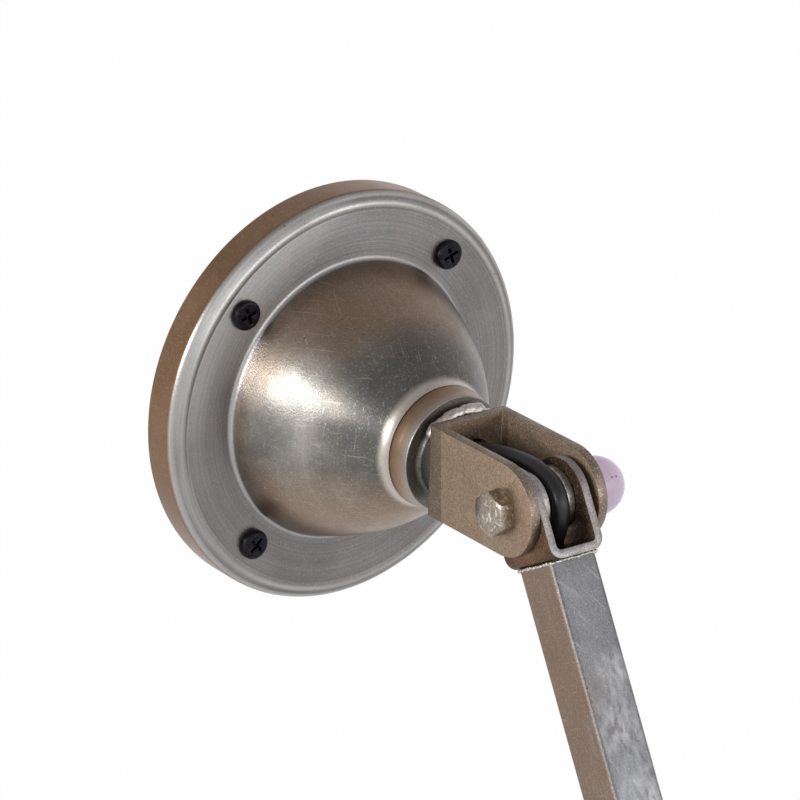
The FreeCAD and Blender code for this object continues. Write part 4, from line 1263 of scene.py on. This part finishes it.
class LAMP_OT_stage(bpy.types.Operator):
    """Pale floor, soft studio light and the camera"""
    bl_idname = "lamp.stage"
    bl_label = "Studio Stage"
    bl_options = {"REGISTER", "UNDO"}

    def execute(self, context):
        colour = panel_values(context)[1]
        scene = context.scene
        scene.view_settings.view_transform = "Standard"
        deselect()
        bpy.ops.mesh.primitive_plane_add(size=40, location=(0, 0, -1.6))
        floor = context.object
        floor.name = "studio_floor"
        material, sheet, shader = new_finish("Pale floor")
        sheet.feed(shader.inputs["Base Color"], colour.floor)
        sheet.feed(shader.inputs["Roughness"], 0.9)
        seen = self.direct_rays(sheet)
        glow = sheet.add("ShaderNodeEmission", {"Color": (1, 1, 1), "Strength": 1.0})
        mixed = sheet.add("ShaderNodeMixShader", {
            0: sheet.times(seen, 0.985), 1: shader.outputs[0], 2: glow.outputs[0]})
        output = [node for node in sheet.tree.nodes if node.type == "OUTPUT_MATERIAL"][0]
        sheet.tree.links.new(mixed.outputs[0], output.inputs[0])
        floor.data.materials.append(material)

        world = bpy.data.worlds.new("Studio")
        scene.world = world
        world.use_nodes = True
        sheet = Tree(world.node_tree)
        seen = self.direct_rays(sheet)
        way = sheet.add("ShaderNodeTexCoord").outputs["Generated"]
        ceiling = sheet.span(sheet.parts(way)[2], 0.15, 0.85, 1.0, 0.50)
        mirror = sheet.add("ShaderNodeLightPath").outputs["Is Glossy Ray"]
        shown = sheet.maths("ADD", sheet.maths("SUBTRACT", 1.0, mirror),
                            sheet.times(mirror, ceiling))
        strength = sheet.maths("ADD", sheet.times(seen, shown),
                               sheet.span(seen, 0.0, 1.0, 0.66, 0.0))
        sky = sheet.add("ShaderNodeBackground", {"Color": (1, 1, 1), "Strength": strength})
        sheet.add("ShaderNodeOutputWorld", {0: sky.outputs[0]})

        middle = Vector((0, -0.06, 0))
        for name, way, away, wide, high, watts, shade in (
                ("left_box", (-0.95, -0.05, 0.31), 2.0, 0.42, 0.56, 19.0, (1.0, 0.99, 0.98)),
                ("left_front_box", (-0.84, -0.41, 0.33), 2.0, 0.24, 0.32, 6.0,
                 (1.0, 0.99, 0.97)),
                ("low_left_box", (-0.86, -0.34, -0.36), 2.2, 0.90, 0.60, 2.0,
                 (1.0, 0.95, 0.90)),
                ("front_box", (0.15, -0.95, 0.22), 2.2, 2.20, 0.80, 13.0, (0.98, 0.99, 1.0)),
                ("right_box", (0.62, -0.70, 0.35), 2.6, 1.20, 1.60, 3.0, (0.98, 0.99, 1.0))):
            lamp = bpy.data.lights.new(name, "AREA")
            lamp.shape = "RECTANGLE"
            lamp.size = wide
            lamp.size_y = high
            lamp.energy = watts
            lamp.color = shade
            holder = bpy.data.objects.new(name, lamp)
            scene.collection.objects.link(holder)
            direction = Vector(way).normalized()
            holder.location = middle + direction * away
            holder.rotation_euler = direction.to_track_quat("Z", "Y").to_euler()

        lens = bpy.data.cameras.new("photo_camera")
        lens.sensor_width = 36.0
        lens.lens = 4811.1 / 800 * 36
        lens.clip_end = 60
        camera = bpy.data.objects.new("photo_camera", lens)
        scene.collection.objects.link(camera)
        right = Vector((0.80043, -0.59879, 0.02767))
        up = Vector((0.20384, 0.31531, 0.92684))
        back = right.cross(up)
        turn = Matrix((right, up, back)).transposed().to_4x4()
        camera.matrix_world = Matrix.Translation((-0.86956, -1.17610, 0.58607)) @ turn
        scene.camera = camera
        return {"FINISHED"}

    @staticmethod
    def direct_rays(sheet):
        """Camera, mirror and glass rays, which see the pale background."""
        path = sheet.add("ShaderNodeLightPath").outputs
        both = sheet.maths("MAXIMUM", path["Is Camera Ray"], path["Is Glossy Ray"])
        return sheet.maths("MAXIMUM", both, path["Is Transmission Ray"])


class LAMP_PT_panel(bpy.types.Panel):
    """The lamp's pieces, in the order they are made"""
    bl_label = "Wall Lamp"
    bl_idname = "LAMP_PT_panel"
    bl_space_type = "VIEW_3D"
    bl_region_type = "UI"
    bl_category = "Wall Lamp"

    def draw(self, context):
        for operator in OPERATORS:
            self.layout.operator(operator.bl_idname)
        for group in (context.scene.lamp_sizes, context.scene.lamp_colours):
            column = self.layout.column(align=True)
            for name in group.__annotations__:
                column.prop(group, name)


OPERATORS = (
    LAMP_OT_stage, LAMP_OT_canopy, LAMP_OT_wall_screws, LAMP_OT_swivel, LAMP_OT_terminals,
    LAMP_OT_forks, LAMP_OT_pivots, LAMP_OT_cords, LAMP_OT_arms, LAMP_OT_head,
)
CLASSES = (LampSizes, LampColours) + OPERATORS + (LAMP_PT_panel,)


def register():
    for kind in CLASSES:
        bpy.utils.register_class(kind)
    bpy.types.Scene.lamp_sizes = bpy.props.PointerProperty(type=LampSizes)
    bpy.types.Scene.lamp_colours = bpy.props.PointerProperty(type=LampColours)


def unregister():
    del bpy.types.Scene.lamp_sizes
    del bpy.types.Scene.lamp_colours
    for kind in reversed(CLASSES):
        bpy.utils.unregister_class(kind)


def main():
    register()
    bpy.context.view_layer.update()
    bpy.ops.lamp.stage()
    bpy.ops.lamp.canopy()
    bpy.ops.lamp.wall_screws()
    bpy.ops.lamp.swivel()
    bpy.ops.lamp.terminals()
    bpy.ops.lamp.forks()
    bpy.ops.lamp.pivots()
    bpy.ops.lamp.cords()
    bpy.ops.lamp.arms()
    bpy.ops.lamp.head()


if __name__ == "__main__":
    main()
